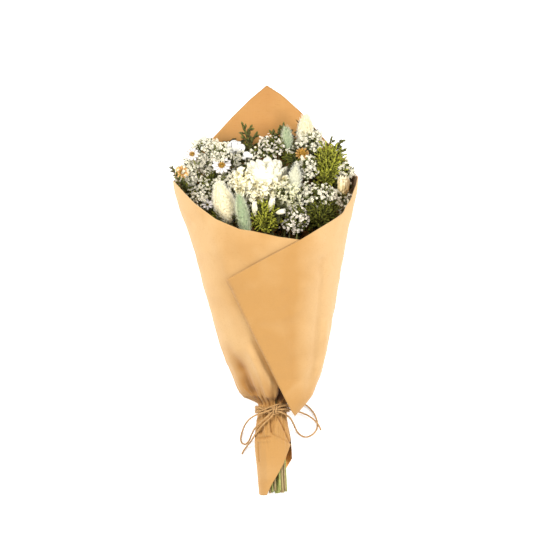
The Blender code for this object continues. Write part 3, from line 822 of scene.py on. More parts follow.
@dataclass(frozen=True)
class Crease:
    """A dent or ridge pressed into the sheet along a line seen from above, in millimetres.

    Attributes:
        line: corner points of the line.
        width: distance at which it has mostly faded.
        height: how far it stands out, or in where negative.
        deep: how much painted shade darkens it; over 1 it goes on towards the darkest colour.
        fade: share of the line over which it comes in.
    """

    line: tuple[tuple[float, float], ...]
    width: float
    height: float
    deep: float = 0.0
    fade: float = 0.3

    def at(self, x: np.ndarray, y: np.ndarray) -> np.ndarray:
        """Share of the full effect at points seen from above."""
        nearest = np.full(x.shape, np.inf)
        along = np.zeros(x.shape)
        count = len(self.line) - 1
        for k, ((x0, y0), (x1, y1)) in enumerate(zip(self.line, self.line[1:])):
            dx, dy = x1 - x0, y1 - y0
            share = np.clip(((x - x0) * dx + (y - y0) * dy) / (dx * dx + dy * dy), 0.0, 1.0)
            away = np.hypot(x - x0 - share * dx, y - y0 - share * dy)
            along = np.where(away < nearest, (k + share) / count, along)
            nearest = np.minimum(nearest, away)
        return np.exp(-(nearest / self.width) ** 2) * np.clip(along / self.fade, 0.0, 1.0)


def grid_noise(points: np.ndarray, scale: float, seed: float, stretch: Point = (1.0, 1.0, 1.0)) -> np.ndarray:
    """Smooth noise from -1 to 1 at a grid of points, its features about a scale apart."""
    flat = points.reshape(-1, 3) * np.array(stretch) / scale + seed
    return np.array([noise.noise(Vector(point)) for point in flat]).reshape(points.shape[:-1])


def ramp(values: Any, start: float, end: float) -> Any:
    """Share from 0 at start to 1 at end, level beyond them."""
    return np.clip((values - start) / (end - start), 0.0, 1.0)


def edge_height(edge: Sequence[tuple[float, float]], x: Any) -> Any:
    """Height of a cut edge at x."""
    return np.interp(x, *zip(*sorted(edge)))


@dataclass
class Wrap:
    """The kraft sheet: one surface folded into tail, neck, cone and front flap.

    Lengths are in millimetres from the tip of the tail until the mesh is made.
    """

    outside: Material
    inside: Material
    edge: Material

    # y, left, right, height of the widest points, top, underside, flatness of the back
    SECTIONS = SmoothTable((
        (0, -5.5, 30.0, 12.0, 26.0, 0.0, 0.75), (30, -8.0, 31.2, 13.5, 29.0, 0.0, 0.75),
        (62, -11.0, 30.0, 15.8, 31.6, 0.0, 0.80), (80, -9.0, 27.0, 18.8, 35.0, 1.6, 0.95),
        (90, -7.7, 25.7, 19.5, 36.2, 2.8, 1.00), (100, -7.7, 25.7, 19.5, 36.2, 2.8, 1.00),
        (108, -22.5, 34.0, 20.5, 40.5, 1.0, 0.90), (118, -30.0, 48.0, 21.8, 47.0, 0.0, 0.80),
        (128, -33.5, 60.0, 23.0, 52.0, 0.0, 0.80), (154, -43.0, 66.5, 27.0, 62.0, 0.0, 0.80),
        (198, -57.0, 76.0, 35.0, 79.0, 0.0, 0.80), (250, -71.2, 84.7, 43.0, 97.0, 0.0, 0.80),
        (285, -81.5, 90.5, 48.0, 107.0, 0.0, 0.80), (347, -100.0, 103.0, 52.0, 112.0, 0.0, 0.80),
        (460, -102.0, 105.0, 52.0, 112.0, 0.0, 0.80)))
    LAYER_START = SmoothTable(((0, 10), (60, 10), (104, 12), (118, 24), (128, 34), (200, 40), (285, 46),
                               (460, 46)))
    power: float = 0.92  # roundness of the front; 1 is an ellipse
    back_curve: float = 1.6  # how soon the back turns into its flat part
    neck: tuple[float, float] = (90.0, 100.0)
    neck_fade: float = 12.0
    fold_y: float = 128.0
    BACK_RIM = ((-100, 346.5), (-81, 368), (-59.4, 391.6), (-35.2, 418), (-16, 437), (3.0, 453), (20, 442),
                (41.8, 422.4), (69.3, 390.5), (90.2, 369.6), (103.4, 351))
    FRONT_RIM = ((-100, 346.5), (-74.8, 320.7), (-52.8, 304.2), (-26.4, 293.2), (-11, 290.9),
                 (15.4, 285.0), (40.7, 281.5), (75, 279))
    TAIL_FRONT = ((-8, 2), (-3, 0), (3, 0.5), (8.3, 12), (15.4, 24), (20.9, 34), (27, 49.5), (31, 59))
    TAIL_BACK = ((-8, 2), (-3, 0), (8, 12), (18, 22), (25.5, 31), (31, 40.5))
    flap_tip: tuple[float, float] = (32.8, 86.2)
    flap_corner: tuple[float, float] = (-40.7, 237.6)
    FLAP_RIM = ((103.0, 351), (94.5, 329), (85, 311.3), (72.6, 302.5), (40.7, 282.7), (0, 260.5),
                (-40.7, 237.6))
    FLAP_FOLD = ((60.0, 128), (52.8, 110), (45.0, 100), (32.8, 86.2))
    # left, height of the widest points and top at the flap's tip
    flap_end: tuple[float, ...] = (-5.0, 30.0, 43.0)
    standoff: float = 2.6
    standoff_angle: float = math.radians(25)
    columns: int = 190
    flap_columns: int = 62
    tail_rows: int = 76
    neck_rows: int = 34
    cone_rows: int = 84
    searches: int = 40
    peak_search: tuple[float, ...] = (0.6, 0.9, 900)
    thickness: float = 0.3 * MM
    resting: float = 6.0  # height under which the back can't bulge, and least height of the sheet
    lift: float = 0.05
    # height, spacing and seed of the slow waves, the flutes above the neck and the ridges
    WAVES = ((0.9, 42.0, 3.1), (0.5, 17.0, 7.7))
    flutes: tuple[float, ...] = (1.6, 24.0, 5.3)
    ridges: tuple[float, ...] = (-0.9, 21.0, 11.9)
    ridge_level: float = 0.28
    # heights between which the crumpling sets in and the flutes fade
    crumpled: tuple[float, float] = (104.0, 144.0)
    fluted: tuple[float, float] = (250.0, 120.0)
    pleat_depth: float = 3.0
    pleat_shade: float = 1.15
    # how far the pleats run above and below the neck; share, number, seed and sharpness of each kind
    pleat_reach: tuple[float, float] = (62.0, 50.0)
    PLEAT_KINDS = ((0.7, 4.2, 21.3, 0.8), (0.3, 8.82, 2.3, 1.0))
    # most painted shade, at which the colour is darkest
    darkest_shade: float = 2.0
    CONE_CREASES = (
        Crease(((-42, 171), (-37, 160), (-32, 150), (-28, 141)), 4.5, -1.4, 0.35),
        Crease(((-30.5, 160), (-26.5, 143), (-21.5, 128), (-14.5, 113)), 8.0, -4.6, 0.95, 0.4),
        Crease(((-29, 132), (-20, 117), (-9, 108)), 6.5, -1.4, 0.55),
        Crease(((-19.5, 168), (-11.5, 151), (-3.8, 136), (4.7, 110)), 4.2, 2.8),
        Crease(((-15, 182), (-7.7, 163), (10.5, 129), (19, 115)), 4.0, -3.2, 0.85, 0.6),
        Crease(((14, 100), (18, 106), (21, 114)), 4.0, -5.0, 2.2, 0.1),
        Crease(((19, 102), (24, 108), (22, 116)), 3.6, -3.5, 1.6, 0.1),
        Crease(((-8.6, 107), (-5, 103), (-3, 99)), 1.3, -1.8, 1.7),
        Crease(((-3.5, 111), (-1, 104), (1, 99)), 1.1, -1.4, 1.3),
        Crease(((2, 111), (4.5, 104), (6.4, 99)), 1.2, -1.6, 1.5),
        Crease(((-14, 108), (-9, 103), (-7, 100)), 1.2, -1.2, 1.0),
        Crease(((-60, 215), (-48, 180), (-38, 150)), 7.0, 1.2),
        Crease(((-78, 312), (-58, 268), (-44, 232)), 7.0, -0.8),
        Crease(((-58, 300), (-45, 262), (-33, 236)), 8.0, 0.8))
    FLAP_CREASES = (
        Crease(((38, 104), (31, 160), (24, 222)), 5.0, -1.2, 0.06),
        Crease(((44, 108), (46, 160), (44, 230)), 6.0, 0.9),
        Crease(((46, 106), (55, 142), (60, 196), (64, 260)), 4.0, -2.0, 0.10),
        Crease(((51, 114), (62, 147), (68, 190)), 3.5, 2.2),
        Crease(((33, 92), (12, 138), (-18, 196), (-38, 234)), 2.0, 0.7),
        Crease(((72, 190), (82, 262), (90, 318)), 5.0, -1.0),
        Crease(((60, 288), (40, 240), (30, 200)), 7.0, 0.7))
    TAIL_CREASES = (
        Crease(((0.5, 88), (-2.6, 79), (-4.4, 69)), 2.0, -1.8, 1.25),
        Crease(((4.7, 90), (6.4, 80), (7.7, 70)), 0.85, -1.6, 1.5, 0.1),
        Crease(((14.3, 89), (21.4, 76), (29.6, 58)), 0.85, -1.6, 1.5, 0.1),
        Crease(((-9.7, 63), (0, 63.4), (7, 64.9)), 1.3, -1.2, 0.7, 0.05),
        Crease(((-8, 60), (6, 61)), 1.6, 1.1, 0.0, 0.05),
        Crease(((-6.7, 59.4), (-6.3, 50), (-5.5, 38)), 1.0, -0.9, 0.7, 0.05),
        Crease(((7.7, 68), (16, 65), (26.2, 59.4)), 1.1, -0.7, 0.5, 0.1),
        Crease(((15, 88), (11, 78), (8.5, 68)), 1.3, -0.8, 0.5, 0.1),
        Crease(((10.5, 86), (12, 76), (14, 66)), 2.2, 1.2),
        Crease(((1.5, 86), (2.5, 76), (2, 68)), 2.2, 1.4),
        Crease(((1, 58), (3, 40), (4, 18)), 2.4, 0.7))

    @classmethod
    def drop(cls, sine: Any, flat: Any) -> Any:
        """Share of the way from the widest points down to the underside, which is pressed flat."""
        return np.minimum(np.tanh(cls.back_curve * sine / flat) / math.tanh(cls.back_curve), 1.0)

    def section_point(self, y: np.ndarray, angle: np.ndarray) -> np.ndarray:
        """Points of the outside.

        Args:
            y: their heights.
            angle: their turns round the section; 0 is the right edge, a quarter turn the front.

        Returns:
            The points.
        """
        left, right, mid, top, under, flat = self.SECTIONS(y)
        away = ramp(np.maximum(self.neck[0] - y, y - self.neck[1]), 0.0, self.neck_fade)
        power = 1.0 + (self.power - 1.0) * away
        cosine, sine = np.cos(angle), np.sin(angle)
        x = 0.5 * (left + right) + 0.5 * (right - left) * np.sign(cosine) * np.abs(cosine) ** power
        front = mid + (top - mid) * np.abs(sine) ** power
        back = mid - (mid - under) * self.drop(np.abs(sine), flat)
        return np.stack((x, y, np.where(sine >= 0.0, front, back)), axis=-1)

    @classmethod
    def covers(cls, place_at: Vector, margin: float) -> bool:
        """Whether the paper lies behind a point of the frame, at least a margin inside its outline."""
        x, y, _ = (place_at - SHIFT) / MM
        left, right = cls.SECTIONS(np.array(y))[:2]
        return left + margin < x < right - margin and y < edge_height(cls.BACK_RIM, x) - margin

    @classmethod
    def within(cls, place_at: Vector, margin: float = 3.0) -> Vector:
        """A point of the frame, moved to the inside of the paper wherever the paper stands round it.

        Args:
            place_at: the point.
            margin: least distance from the paper, in millimetres.

        Returns:
            The moved point.
        """
        x, y, z = (place_at - SHIFT) / MM
        left, right, mid, top, under, flat = (float(value) for value in cls.SECTIONS(np.array(y)))
        if y < cls.BACK_RIM[-1][1]:
            x = min(max(x, left + margin), right - margin)
        share = min(abs(2.0 * x - left - right) / (right - left), 1.0) ** (1.0 / cls.power)
        sine = math.sqrt(1.0 - share * share)
        if any(y < edge_height(rim, x) for rim in (cls.FRONT_RIM, cls.FLAP_RIM)):
            z = min(z, mid + (top - mid) * sine ** cls.power - margin)
        if y < edge_height(cls.BACK_RIM, x):
            z = max(z, mid - (mid - under) * cls.drop(sine, flat) + margin)
        return place((x, y, z))

    def meet(self, angle: np.ndarray, front: Sequence, back: Sequence, start: float) -> np.ndarray:
        """Heights at which columns meet a cut edge.

        Args:
            angle: turns of the columns.
            front: corners of the edge in front.
            back: corners of the edge behind.
            start: height from which each is searched for.

        Returns:
            One height for each column.
        """
        y = np.full(angle.shape, start)
        for _ in range(self.searches):
            x = self.section_point(y, angle)[..., 0]
            y = 0.5 * (y + np.where(np.sin(angle) > 1e-9, edge_height(front, x), edge_height(back, x)))
        return y

    def angles(self, y: Any, share: np.ndarray) -> np.ndarray:
        """Turns of points at heights y and shares of the way round from the edge under the flap."""
        start = np.radians(self.LAYER_START(np.asarray(y))[0])
        return start + (2.0 * math.pi - start) * share

    def body(self) -> np.ndarray:
        """Grid of points of tail, neck and cone, rows first, with one column through the tip of the peak."""
        share, fine = np.linspace(0.0, 1.0, self.columns), np.linspace(*self.peak_search)
        peak_x, peak_y = max(self.BACK_RIM, key=lambda corner: corner[1])
        there = self.section_point(np.full(fine.shape, peak_y), self.angles(peak_y, fine))[:, 0]
        tip = fine[np.argmin(np.abs(there - peak_x))]
        share[np.argmin(np.abs(share - tip))] = tip
        low = self.meet(self.angles(0.0, share), self.TAIL_FRONT, self.TAIL_BACK, 20.0)
        high = self.meet(self.angles(300.0, share), self.FRONT_RIM, self.BACK_RIM, 350.0)
        neck, fold = np.full(share.shape, self.neck[0]), np.full(share.shape, self.fold_y)
        rows = [start + (end - start) * k / count
                for start, end, count in ((low, neck, self.tail_rows), (neck, fold, self.neck_rows),
                                          (fold, high, self.cone_rows)) for k in range(count)]
        return np.stack([self.section_point(y, self.angles(y, share)) for y in (*rows, high)])

    @staticmethod
    def along(line: Sequence[tuple[float, float]], share: np.ndarray) -> np.ndarray:
        """Points at shares of the length of a line."""
        corners = np.array(line, dtype=float)
        lengths = np.concatenate(((0.0,), np.cumsum(np.hypot(*np.diff(corners, axis=0).T))))
        return np.stack([np.interp(share * lengths[-1], lengths, column) for column in corners.T], axis=-1)

    def flap(self) -> np.ndarray:
        """Grid of points of the front flap, from the fold row up; the first column joins the body."""
        shares = 1.0 - np.cos(0.5 * math.pi * np.linspace(0.0, 1.0, self.flap_columns + 1))
        up = np.linspace(0.0, 1.0, self.cone_rows + 1)[:, None, None]
        fold, rim = self.along(self.FLAP_FOLD, shares), self.along(self.FLAP_RIM, shares)
        right_y = self.fold_y + (self.FLAP_RIM[0][1] - self.fold_y) * up[:, 0, 0]
        right = np.stack((self.SECTIONS(right_y)[1], right_y), axis=-1)[:, None, :]
        bulge = (right - fold[0] - (rim[0] - fold[0]) * up) * (1.0 - shares[None, :, None])
        plan = fold * (1.0 - up) + rim * up + bulge
        x, y = plan[..., 0], plan[..., 1]
        left, edge, mid, top, _, _ = self.SECTIONS(np.maximum(y, self.fold_y))
        below = ramp(y, self.fold_y, self.flap_tip[1])
        left, mid, top = [now + (end - now) * below for now, end in zip((left, mid, top), self.flap_end)]
        edge = np.where(y < self.fold_y, np.interp(y, *np.array(self.FLAP_FOLD)[::-1, ::-1].T), edge)
        centre = 0.5 * (left + edge)
        sideways = np.clip((x - centre) / (edge - centre), -1.0, 1.0)
        angle = np.arccos(np.sign(sideways) * np.abs(sideways) ** (1.0 / self.power))
        z = mid + (top - mid) * np.sin(angle) ** self.power
        outward = np.stack((np.cos(angle) / (edge - centre), 0.0 * x, np.sin(angle) / (top - mid)), axis=-1)
        outward /= np.linalg.norm(outward, axis=-1, keepdims=True)
        standoff = self.standoff * ramp(angle, 0.0, self.standoff_angle)
        return np.stack((x, y, z), axis=-1) + outward * standoff[..., None]

    @staticmethod
    def normals(grid: np.ndarray) -> np.ndarray:
        """Outward directions of a grid."""
        rows, columns = np.gradient(grid, axis=0), np.gradient(grid, axis=1)
        outward = np.cross(rows, columns)
        return outward / np.maximum(np.linalg.norm(outward, axis=-1, keepdims=True), 1e-9)

    def relief(self, grid: np.ndarray) -> np.ndarray:
        """How far the crumpled sheet stands out or in at each point."""
        waves = sum(height * grid_noise(grid, spacing, seed) for height, spacing, seed in self.WAVES)
        height, spacing, seed = self.flutes
        flutes = height * grid_noise(grid, spacing, seed, (1.0, 0.12, 1.0)) * ramp(grid[..., 1], *self.fluted)
        height, spacing, seed = self.ridges
        ridges = self.ridge_level + height * np.abs(grid_noise(grid, spacing, seed))
        return (waves + flutes + ridges) * ramp(grid[..., 1], *self.crumpled)

    def pressed(self, grid: np.ndarray, creases: Sequence[Crease], area: Any = True) -> list[np.ndarray]:
        """What creases do to a grid.

        Args:
            grid: the grid.
            creases: the creases.
            area: where on the grid they work.

        Returns:
            How far each point stands out, and how much painted shade darkens it.
        """
        shares = [crease.at(grid[..., 0], grid[..., 1]) for crease in creases]
        out = sum(crease.height * share for crease, share in zip(creases, shares))
        deep = sum(crease.deep * share for crease, share in zip(creases, shares))
        return [np.where(area, effect, 0.0) for effect in (out, np.minimum(deep, self.darkest_shade))]

    def pleats(self, grid: np.ndarray) -> np.ndarray:
        """How far each point is drawn in by the gathers at the tie."""
        y = grid[..., 1]
        (below, above), (up, down) = self.neck, self.pleat_reach
        near = np.minimum(ramp(y, above + up, above), ramp(y, below - down, below))
        turn = np.arctan2(grid[..., 2] - TIE[2], grid[..., 0] - TIE[0])
        total = np.zeros(y.shape)
        for share, number, seed, power in self.PLEAT_KINDS:
            ring = np.stack((np.cos(turn) * number, np.sin(turn) * number, y * 0.018), axis=-1)
            total += share * np.minimum(1.0, 2.6 * np.abs(grid_noise(ring, 1.0, seed))) ** power
        return self.pleat_depth * near ** 1.5 * total

    def build(self) -> Object:
        """Make the sheet as one closed mesh."""
        body, flap = self.body(), self.flap()
        front, y = body[..., 2] > self.SECTIONS(body[..., 1])[2], body[..., 1]
        cone, cone_shade = self.pressed(body, self.CONE_CREASES, front & (y > self.neck[1]))
        tail, tail_shade = self.pressed(body, self.TAIL_CREASES, front & (y < self.neck[0] + 2))
        folds, flap_shade = self.pressed(flap, self.FLAP_CREASES)
        drawn, out = self.pleats(body), self.relief(body) + cone + tail
        out = np.where(~front & (body[..., 2] < self.resting), np.minimum(out, 0.0), out) - drawn
        # painted shade in the creases and in the gathers at the tie
        body_shade = np.maximum(cone_shade + tail_shade, self.pleat_shade * (drawn / self.pleat_depth) ** 1.5)
        body = body + self.normals(body) * out[..., None]
        flap = flap + self.normals(flap) * (self.relief(flap) + folds)[..., None]
        body[..., 2] = np.maximum(body[..., 2], self.lift)
        flap[:, 0] = body[-(self.cone_rows + 1):, -1]
        return self.solid(body, flap, np.concatenate((body_shade.ravel(), flap_shade[:, 1:].ravel())))

    def warm_shading(self, points: np.ndarray, body_count: int) -> np.ndarray:
        """How much painted shade turns the colour a warmer, darker orange: most in the middle of the flap,
        beside its edge and low on the cone.

        Args:
            points: points of the body and then of the flap.
            body_count: how many belong to the body.

        Returns:
            One number from 0 to 1 for each point.
        """
        x, y, _ = points.T
        left, right = self.SECTIONS(y)[:2]
        on_flap = ramp((x - left) / np.maximum(right - left, 1.0), 0.90, 0.68)
        (tip_x, tip_y), (corner_x, corner_y) = self.flap_tip, self.flap_corner
        flap_edge = np.interp(y, (tip_y, corner_y), (tip_x, corner_x))
        # painted shadow of the flap's edge on the cone beside it
        beside_flap = ramp(flap_edge - x, 30.0, 0.0) ** 1.5
        at_rim = ramp(y, 235.0, 285.0) * ramp(np.abs(x), 55.0, 0.0)
        on_body = np.maximum(0.55 * beside_flap, 0.9 * at_rim)
        warm = np.where(np.arange(len(points)) < body_count, on_body, on_flap)
        return np.maximum(warm, 0.85 * ramp(y, 150.0, 100.0))

    @staticmethod
    def lit(points: np.ndarray) -> np.ndarray:
        """How much painted light each point gets, as if light came through the sheet: most behind the tail, a
        little in the peak.
        """
        x, y, z = points.T
        tail = ramp(y, 60.0, 42.0) * ramp(z, 19.0, 13.0)
        return np.maximum(tail, 0.18 * ramp(np.abs(y - 402.0), 22.0, 0.0) * ramp(np.abs(x - 8.0), 34.0, 0.0))

    def solid(self, body: np.ndarray, flap: np.ndarray, deep: np.ndarray) -> Object:
        """Join both grids into one thin closed sheet.

        Args:
            body: grid of tail, neck and cone.
            flap: grid of the flap, whose first column is the body's last.
            deep: how much painted shade darkens each of their points.

        Returns:
            The sheet.
        """
        points = np.concatenate((body.reshape(-1, 3), flap[:, 1:].reshape(-1, 3)))
        count = body.shape[0] * body.shape[1]
        wound = np.arange(count).reshape(body.shape[:2])
        folded = np.arange(count, len(points)).reshape(len(flap), -1)
        folded = np.concatenate((wound[-len(flap):, -1:], folded), axis=1)
        quads = [np.stack((grid[:-1, :-1], grid[1:, :-1], grid[1:, 1:], grid[:-1, 1:]), axis=-1)
                 for grid in (wound, folded)]
        faces = np.concatenate([quad.reshape(-1, 4) for quad in quads])
        mesh = new_mesh("sheet", (points * MM + np.array(SHIFT)).tolist(), faces.tolist())
        # painted shade and painted light, kept on the points for the paper's materials
        for name, values in (("warm", self.warm_shading(points, count)), ("deep", deep), ("lit", self.lit(points))):
            set_float(mesh, name, values)
        for material in (self.outside, self.inside, self.edge):
            mesh.materials.append(material)
        obj = link("sheet", mesh)
        paper = obj.modifiers.new("paper", "SOLIDIFY")
        paper.thickness, paper.offset = self.thickness, -1.0
        paper.material_offset, paper.material_offset_rim = 1, 2
        return link("kraft_wrap", plain(obj))


# ---- Twine ----


def curve_through(name: str, points: Sequence[Vector]) -> Curve:
    """A plain open curve through points."""
    curve = bpy.data.curves.new(name, "CURVE")
    curve.dimensions = "3D"
    spline = curve.splines.new("POLY")
    spline.points.add(len(points) - 1)
    spline.points.foreach_set("co", [value for point in points for value in (*point, 1.0)])
    return curve


@dataclass
class Twine:
    """The jute twine: turns round the neck, knot, two loops and two loose ends."""

    tree: NodeTree
    fibre: Object
    material: Material

    diameter: float = 2.0 * MM
    step: float = 2.0 * MM
    LOOP_LEFT = ((6.5, 94.4, 41.4), (-0.6, 92.0, 40.4), (-7.6, 89.6, 36.8), (-14.0, 86.0, 28.0),
                 (-19.0, 81.0, 16.5), (-22.4, 75.0, 6.5), (-24.8, 68.0, 1.6), (-25.9, 62.0, 1.15),
                 (-24.6, 57.4, 1.15), (-20.6, 56.2, 1.3), (-17.2, 59.4, 3.6), (-15.0, 64.2, 9.5),
                 (-13.0, 69.0, 18.5), (-10.6, 73.4, 26.6), (-6.4, 78.6, 33.2), (-1.0, 83.6, 37.2),
                 (3.2, 87.2, 39.8), (7.8, 91.7, 41.2))
    END_LEFT = ((10.6, 90.9, 41.2), (6.8, 86.2, 39.8), (1.6, 81.4, 36.9), (-3.6, 76.0, 33.6),
                (-7.6, 70.8, 29.4), (-11.0, 65.6, 22.6), (-14.0, 60.6, 13.6), (-17.6, 55.8, 5.0),
                (-21.6, 50.6, 1.3), (-24.6, 45.2, 1.15))
    LOOP_RIGHT = ((17.0, 92.8, 41.2), (23.0, 90.2, 38.4), (28.0, 86.2, 31.0), (31.2, 81.4, 20.5),
                  (33.6, 76.0, 9.4), (36.2, 70.6, 2.4), (40.4, 66.2, 1.15), (46.2, 64.0, 1.15),
                  (52.4, 66.0, 1.15), (57.0, 70.6, 1.15), (58.9, 76.6, 1.15), (58.2, 83.4, 1.15),
                  (55.0, 90.4, 1.15), (50.0, 96.4, 1.5), (44.4, 100.4, 4.2), (38.8, 101.8, 9.8),
                  (33.6, 101.8, 19.0), (28.6, 101.0, 29.5), (23.4, 99.6, 37.4), (16.0, 98.0, 41.0))
    END_RIGHT = ((17.7, 95.4, 41.2), (23.4, 95.4, 38.6), (28.2, 95.0, 31.0), (32.2, 94.0, 21.6),
                 (36.8, 92.6, 12.6), (42.4, 90.6, 6.6), (48.4, 88.0, 4.2), (53.4, 84.6, 3.9),
                 (58.2, 80.2, 4.0), (61.6, 75.0, 2.2), (62.8, 71.6, 1.25))
    # name, node, route, far end
    FREE = (("twine_bow_loop_left", "twine_loop_left", LOOP_LEFT, "object"),
            ("twine_tail_left", "twine_end_left", END_LEFT, "bare"),
            ("twine_bow_loop_right", "twine_loop_right", LOOP_RIGHT, "object"),
            ("twine_tail_right", "twine_end_right", END_RIGHT, "bare"))
    turns: float = 2.9
    pitch: float = 2.4
    coil_radius: float = 18.3
    coil_start: float = math.radians(105)
    per_turn: int = 60
    slim: float = 0.9  # thickness of the pulled strands as a share of the others
    # crossings of the knot: the band over it twice and the strands drawn through it
    KNOT = (((10.6, 91.2, 40.6), (10.4, 92.4, 42.6), (10.8, 95.0, 43.9), (11.4, 97.6, 42.6),
             (11.6, 98.6, 40.4), (12.4, 97.2, 39.8), (13.4, 92.6, 40.0), (13.2, 91.4, 41.6),
             (13.0, 93.2, 43.4), (13.4, 96.4, 43.2), (14.0, 98.5, 41.4)),
            ((5.8, 94.2, 41.2), (9.0, 95.4, 41.8), (12.0, 96.4, 41.6), (15.2, 97.6, 41.4),
             (18.0, 98.4, 40.6)),
            ((6.9, 91.0, 40.9), (9.6, 92.4, 41.2), (12.4, 93.2, 41.2), (15.6, 93.2, 41.4),
             (18.4, 92.4, 40.8)),
            ((8.0, 97.6, 39.8), (10.6, 96.6, 40.6), (14.0, 95.4, 41.2), (17.8, 95.4, 41.0)))
    # strands that cross the turns beside the knot
    CROSSING = (((-9.0, 91.6, 21.0), (-7.4, 92.6, 30.0), (-2.0, 94.2, 37.6), (5.0, 97.2, 39.6),
                 (12.0, 99.8, 40.4), (17.6, 101.0, 38.6), (22.6, 99.4, 33.6), (26.4, 95.4, 25.0)),
                ((-8.8, 98.4, 22.0), (-5.6, 97.6, 32.4), (0.0, 95.0, 38.2), (5.6, 92.0, 39.6),
                 (10.0, 90.2, 39.8), (16.0, 91.8, 39.4), (22.0, 95.6, 34.8), (26.6, 98.6, 25.0)))

    def strand(self, points: Sequence[Vector], seed: int, slim: float = 1.0) -> Mesh:
        """One twisted cord.

        Args:
            points: its line.
            seed: fixed start of the random numbers.
            slim: its thickness as a share of the full one.

        Returns:
            The mesh.
        """
        return grow(self.tree, curve_through("strand", points),
                    {"Finish": self.material, "Fibre": self.fibre, "Seed": seed,
                     "Ply Radius": 0.50 * MM * slim, "Ply Offset": 0.48 * MM * slim, "Twist": 950.0,
                     "Step": 0.75 * MM, "Fuzz": 7.0e5})

    def strands(self, routes: Sequence[Sequence[Point]], step: float, seed: int) -> list[Mesh]:
        """Pulled strands along routes, with seeds from the given one on."""
        return [self.strand(smooth_line([place(point) for point in route], step), seed + k, self.slim)
                for k, route in enumerate(routes)]

    def coil(self) -> list[Vector]:
        """Line of the turns round the neck."""
        points = []
        for k in range(round(self.turns * self.per_turn) + 1):
            turn = k / self.per_turn
            angle = self.coil_start + turn * 2.0 * math.pi
            points.append(place((TIE[0] + self.coil_radius * math.cos(angle),
                                 TIE[1] + (turn - 0.5 * self.turns) * self.pitch,
                                 TIE[2] + self.coil_radius * math.sin(angle))))
        return points

    def build(self) -> None:
        """Make and place every part of the twine."""
        for seed, (name, node, route, far_end) in enumerate(self.FREE):
            points = smooth_line([place(point) for point in route], self.step)
            cord = join_meshes(name, [self.strand(points, 40 + seed)])
            finish_piece(cord, "jute_twine", node)
        turns = [self.strand(self.coil(), 50), *self.strands(self.CROSSING, self.step, 60)]
        finish_piece(join_meshes("twine_turns", turns), "jute_twine", "twine_wraps")
        knot = self.strands(self.KNOT, 0.4 * self.step, 51)
        finish_piece(join_meshes("twine_bow_knot", knot), "jute_twine", "twine_knot")


# ---- Pieces ----


def triangle_count(obj: Object) -> int:
    """Triangles of a mesh object."""
    mesh = obj.data
    return len(mesh.loops) - 2 * len(mesh.polygons)


def finish_piece(obj: Object, slot: str, *nodes: str) -> None:
    """Attach a finished piece to the root, hide the frame's nodes that it replaces and log its triangles.

    Args:
        obj: the piece.
        slot: the record's material slot; not used.
        nodes: nodes of the frame that it replaces.
    """
    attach(obj, ROOT)
    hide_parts(*nodes)
    LOG.info("%s: %d triangles", obj.name, triangle_count(obj))


@dataclass
class StemBand:
    """The strip of raffia that binds the stems inside the neck; its sizes are in millimetres."""

    material: Material

    radius: float = 12.2
    turns: int = 3
    sides: int = 90
    rise: float = 4.0
    half_width: float = 0.66
    CORNERS = ((0.5, -1), (0.5, 1), (-0.4, 1), (-0.4, -1))  # outwards and sideways

    def build(self) -> None:
        """A flat strip wound three times, each turn beside the last."""
        points, count = [], self.sides * self.turns
        for k in range(count + 1):
            angle = 2 * math.pi * k / self.sides
            y = TIE[1] + self.rise * (k / count - 0.5)
            for outwards, side in self.CORNERS:
                reach = self.radius + outwards + 0.1 * math.sin(7 * angle)
                points.append(place((TIE[0] + reach * math.cos(angle), y + side * self.half_width,
                                     TIE[2] + reach * math.sin(angle))))
        mesh = new_mesh("band", points, ring_faces(count + 1, len(self.CORNERS)))
        mesh.shade_flat()
        mesh.materials.append(self.material)
        finish_piece(join_meshes("raffia_band", [mesh]), "raffia", "stem_band")


# ---- Shapes that repeat ----


def template(name: str, points: Sequence[Point], faces: Sequence[Sequence[int]],
             along: Sequence[float]) -> Object:
    """A small closed shape, +Z outwards and +Y towards its tip, that trees copy.

    Args:
        name: the shape's name.
        points: its corners.
        faces: its faces.
        along: 0 at the foot of the shape up to 1 at its tip, for each corner.

    Returns:
        An object that holds the shape, kept out of the finished scene.
    """
    mesh = new_mesh(name, points, faces)
    shape = bmesh.new()
    shape.from_mesh(mesh)
    bmesh.ops.recalc_face_normals(shape, faces=shape.faces)
    shape.to_mesh(mesh)
    shape.free()
    set_float(mesh, "along", along)
    return link(name, mesh)


def cone_shape(name: str, length: float, radius: float, curl: float = 0.0) -> Object:
    """A three-sided spike along +Z: a bristle or a loose fibre."""
    points = [(radius * math.cos(a), radius * math.sin(a), 0.0) for a in (0.0, 2.094, 4.189)]
    if not curl:
        return template(name, [*points, (0.0, 0.0, length)], [(2, 1, 0), (0, 1, 3), (1, 2, 3), (2, 0, 3)],
                        (0, 0, 0, 1))
    middle = [(0.7 * x + 0.45 * curl, 0.7 * y, 0.55 * length) for x, y, _ in points]
    faces = [(2, 1, 0)] + [(k, (k + 1) % 3, 3 + (k + 1) % 3, 3 + k) for k in range(3)]
    faces += [(3 + k, 3 + (k + 1) % 3, 6) for k in range(3)]
    return template(name, [*points, *middle, (curl * 1.6, 0.0, length)], faces, (0, 0, 0, 0.5, 0.5, 0.5, 1))


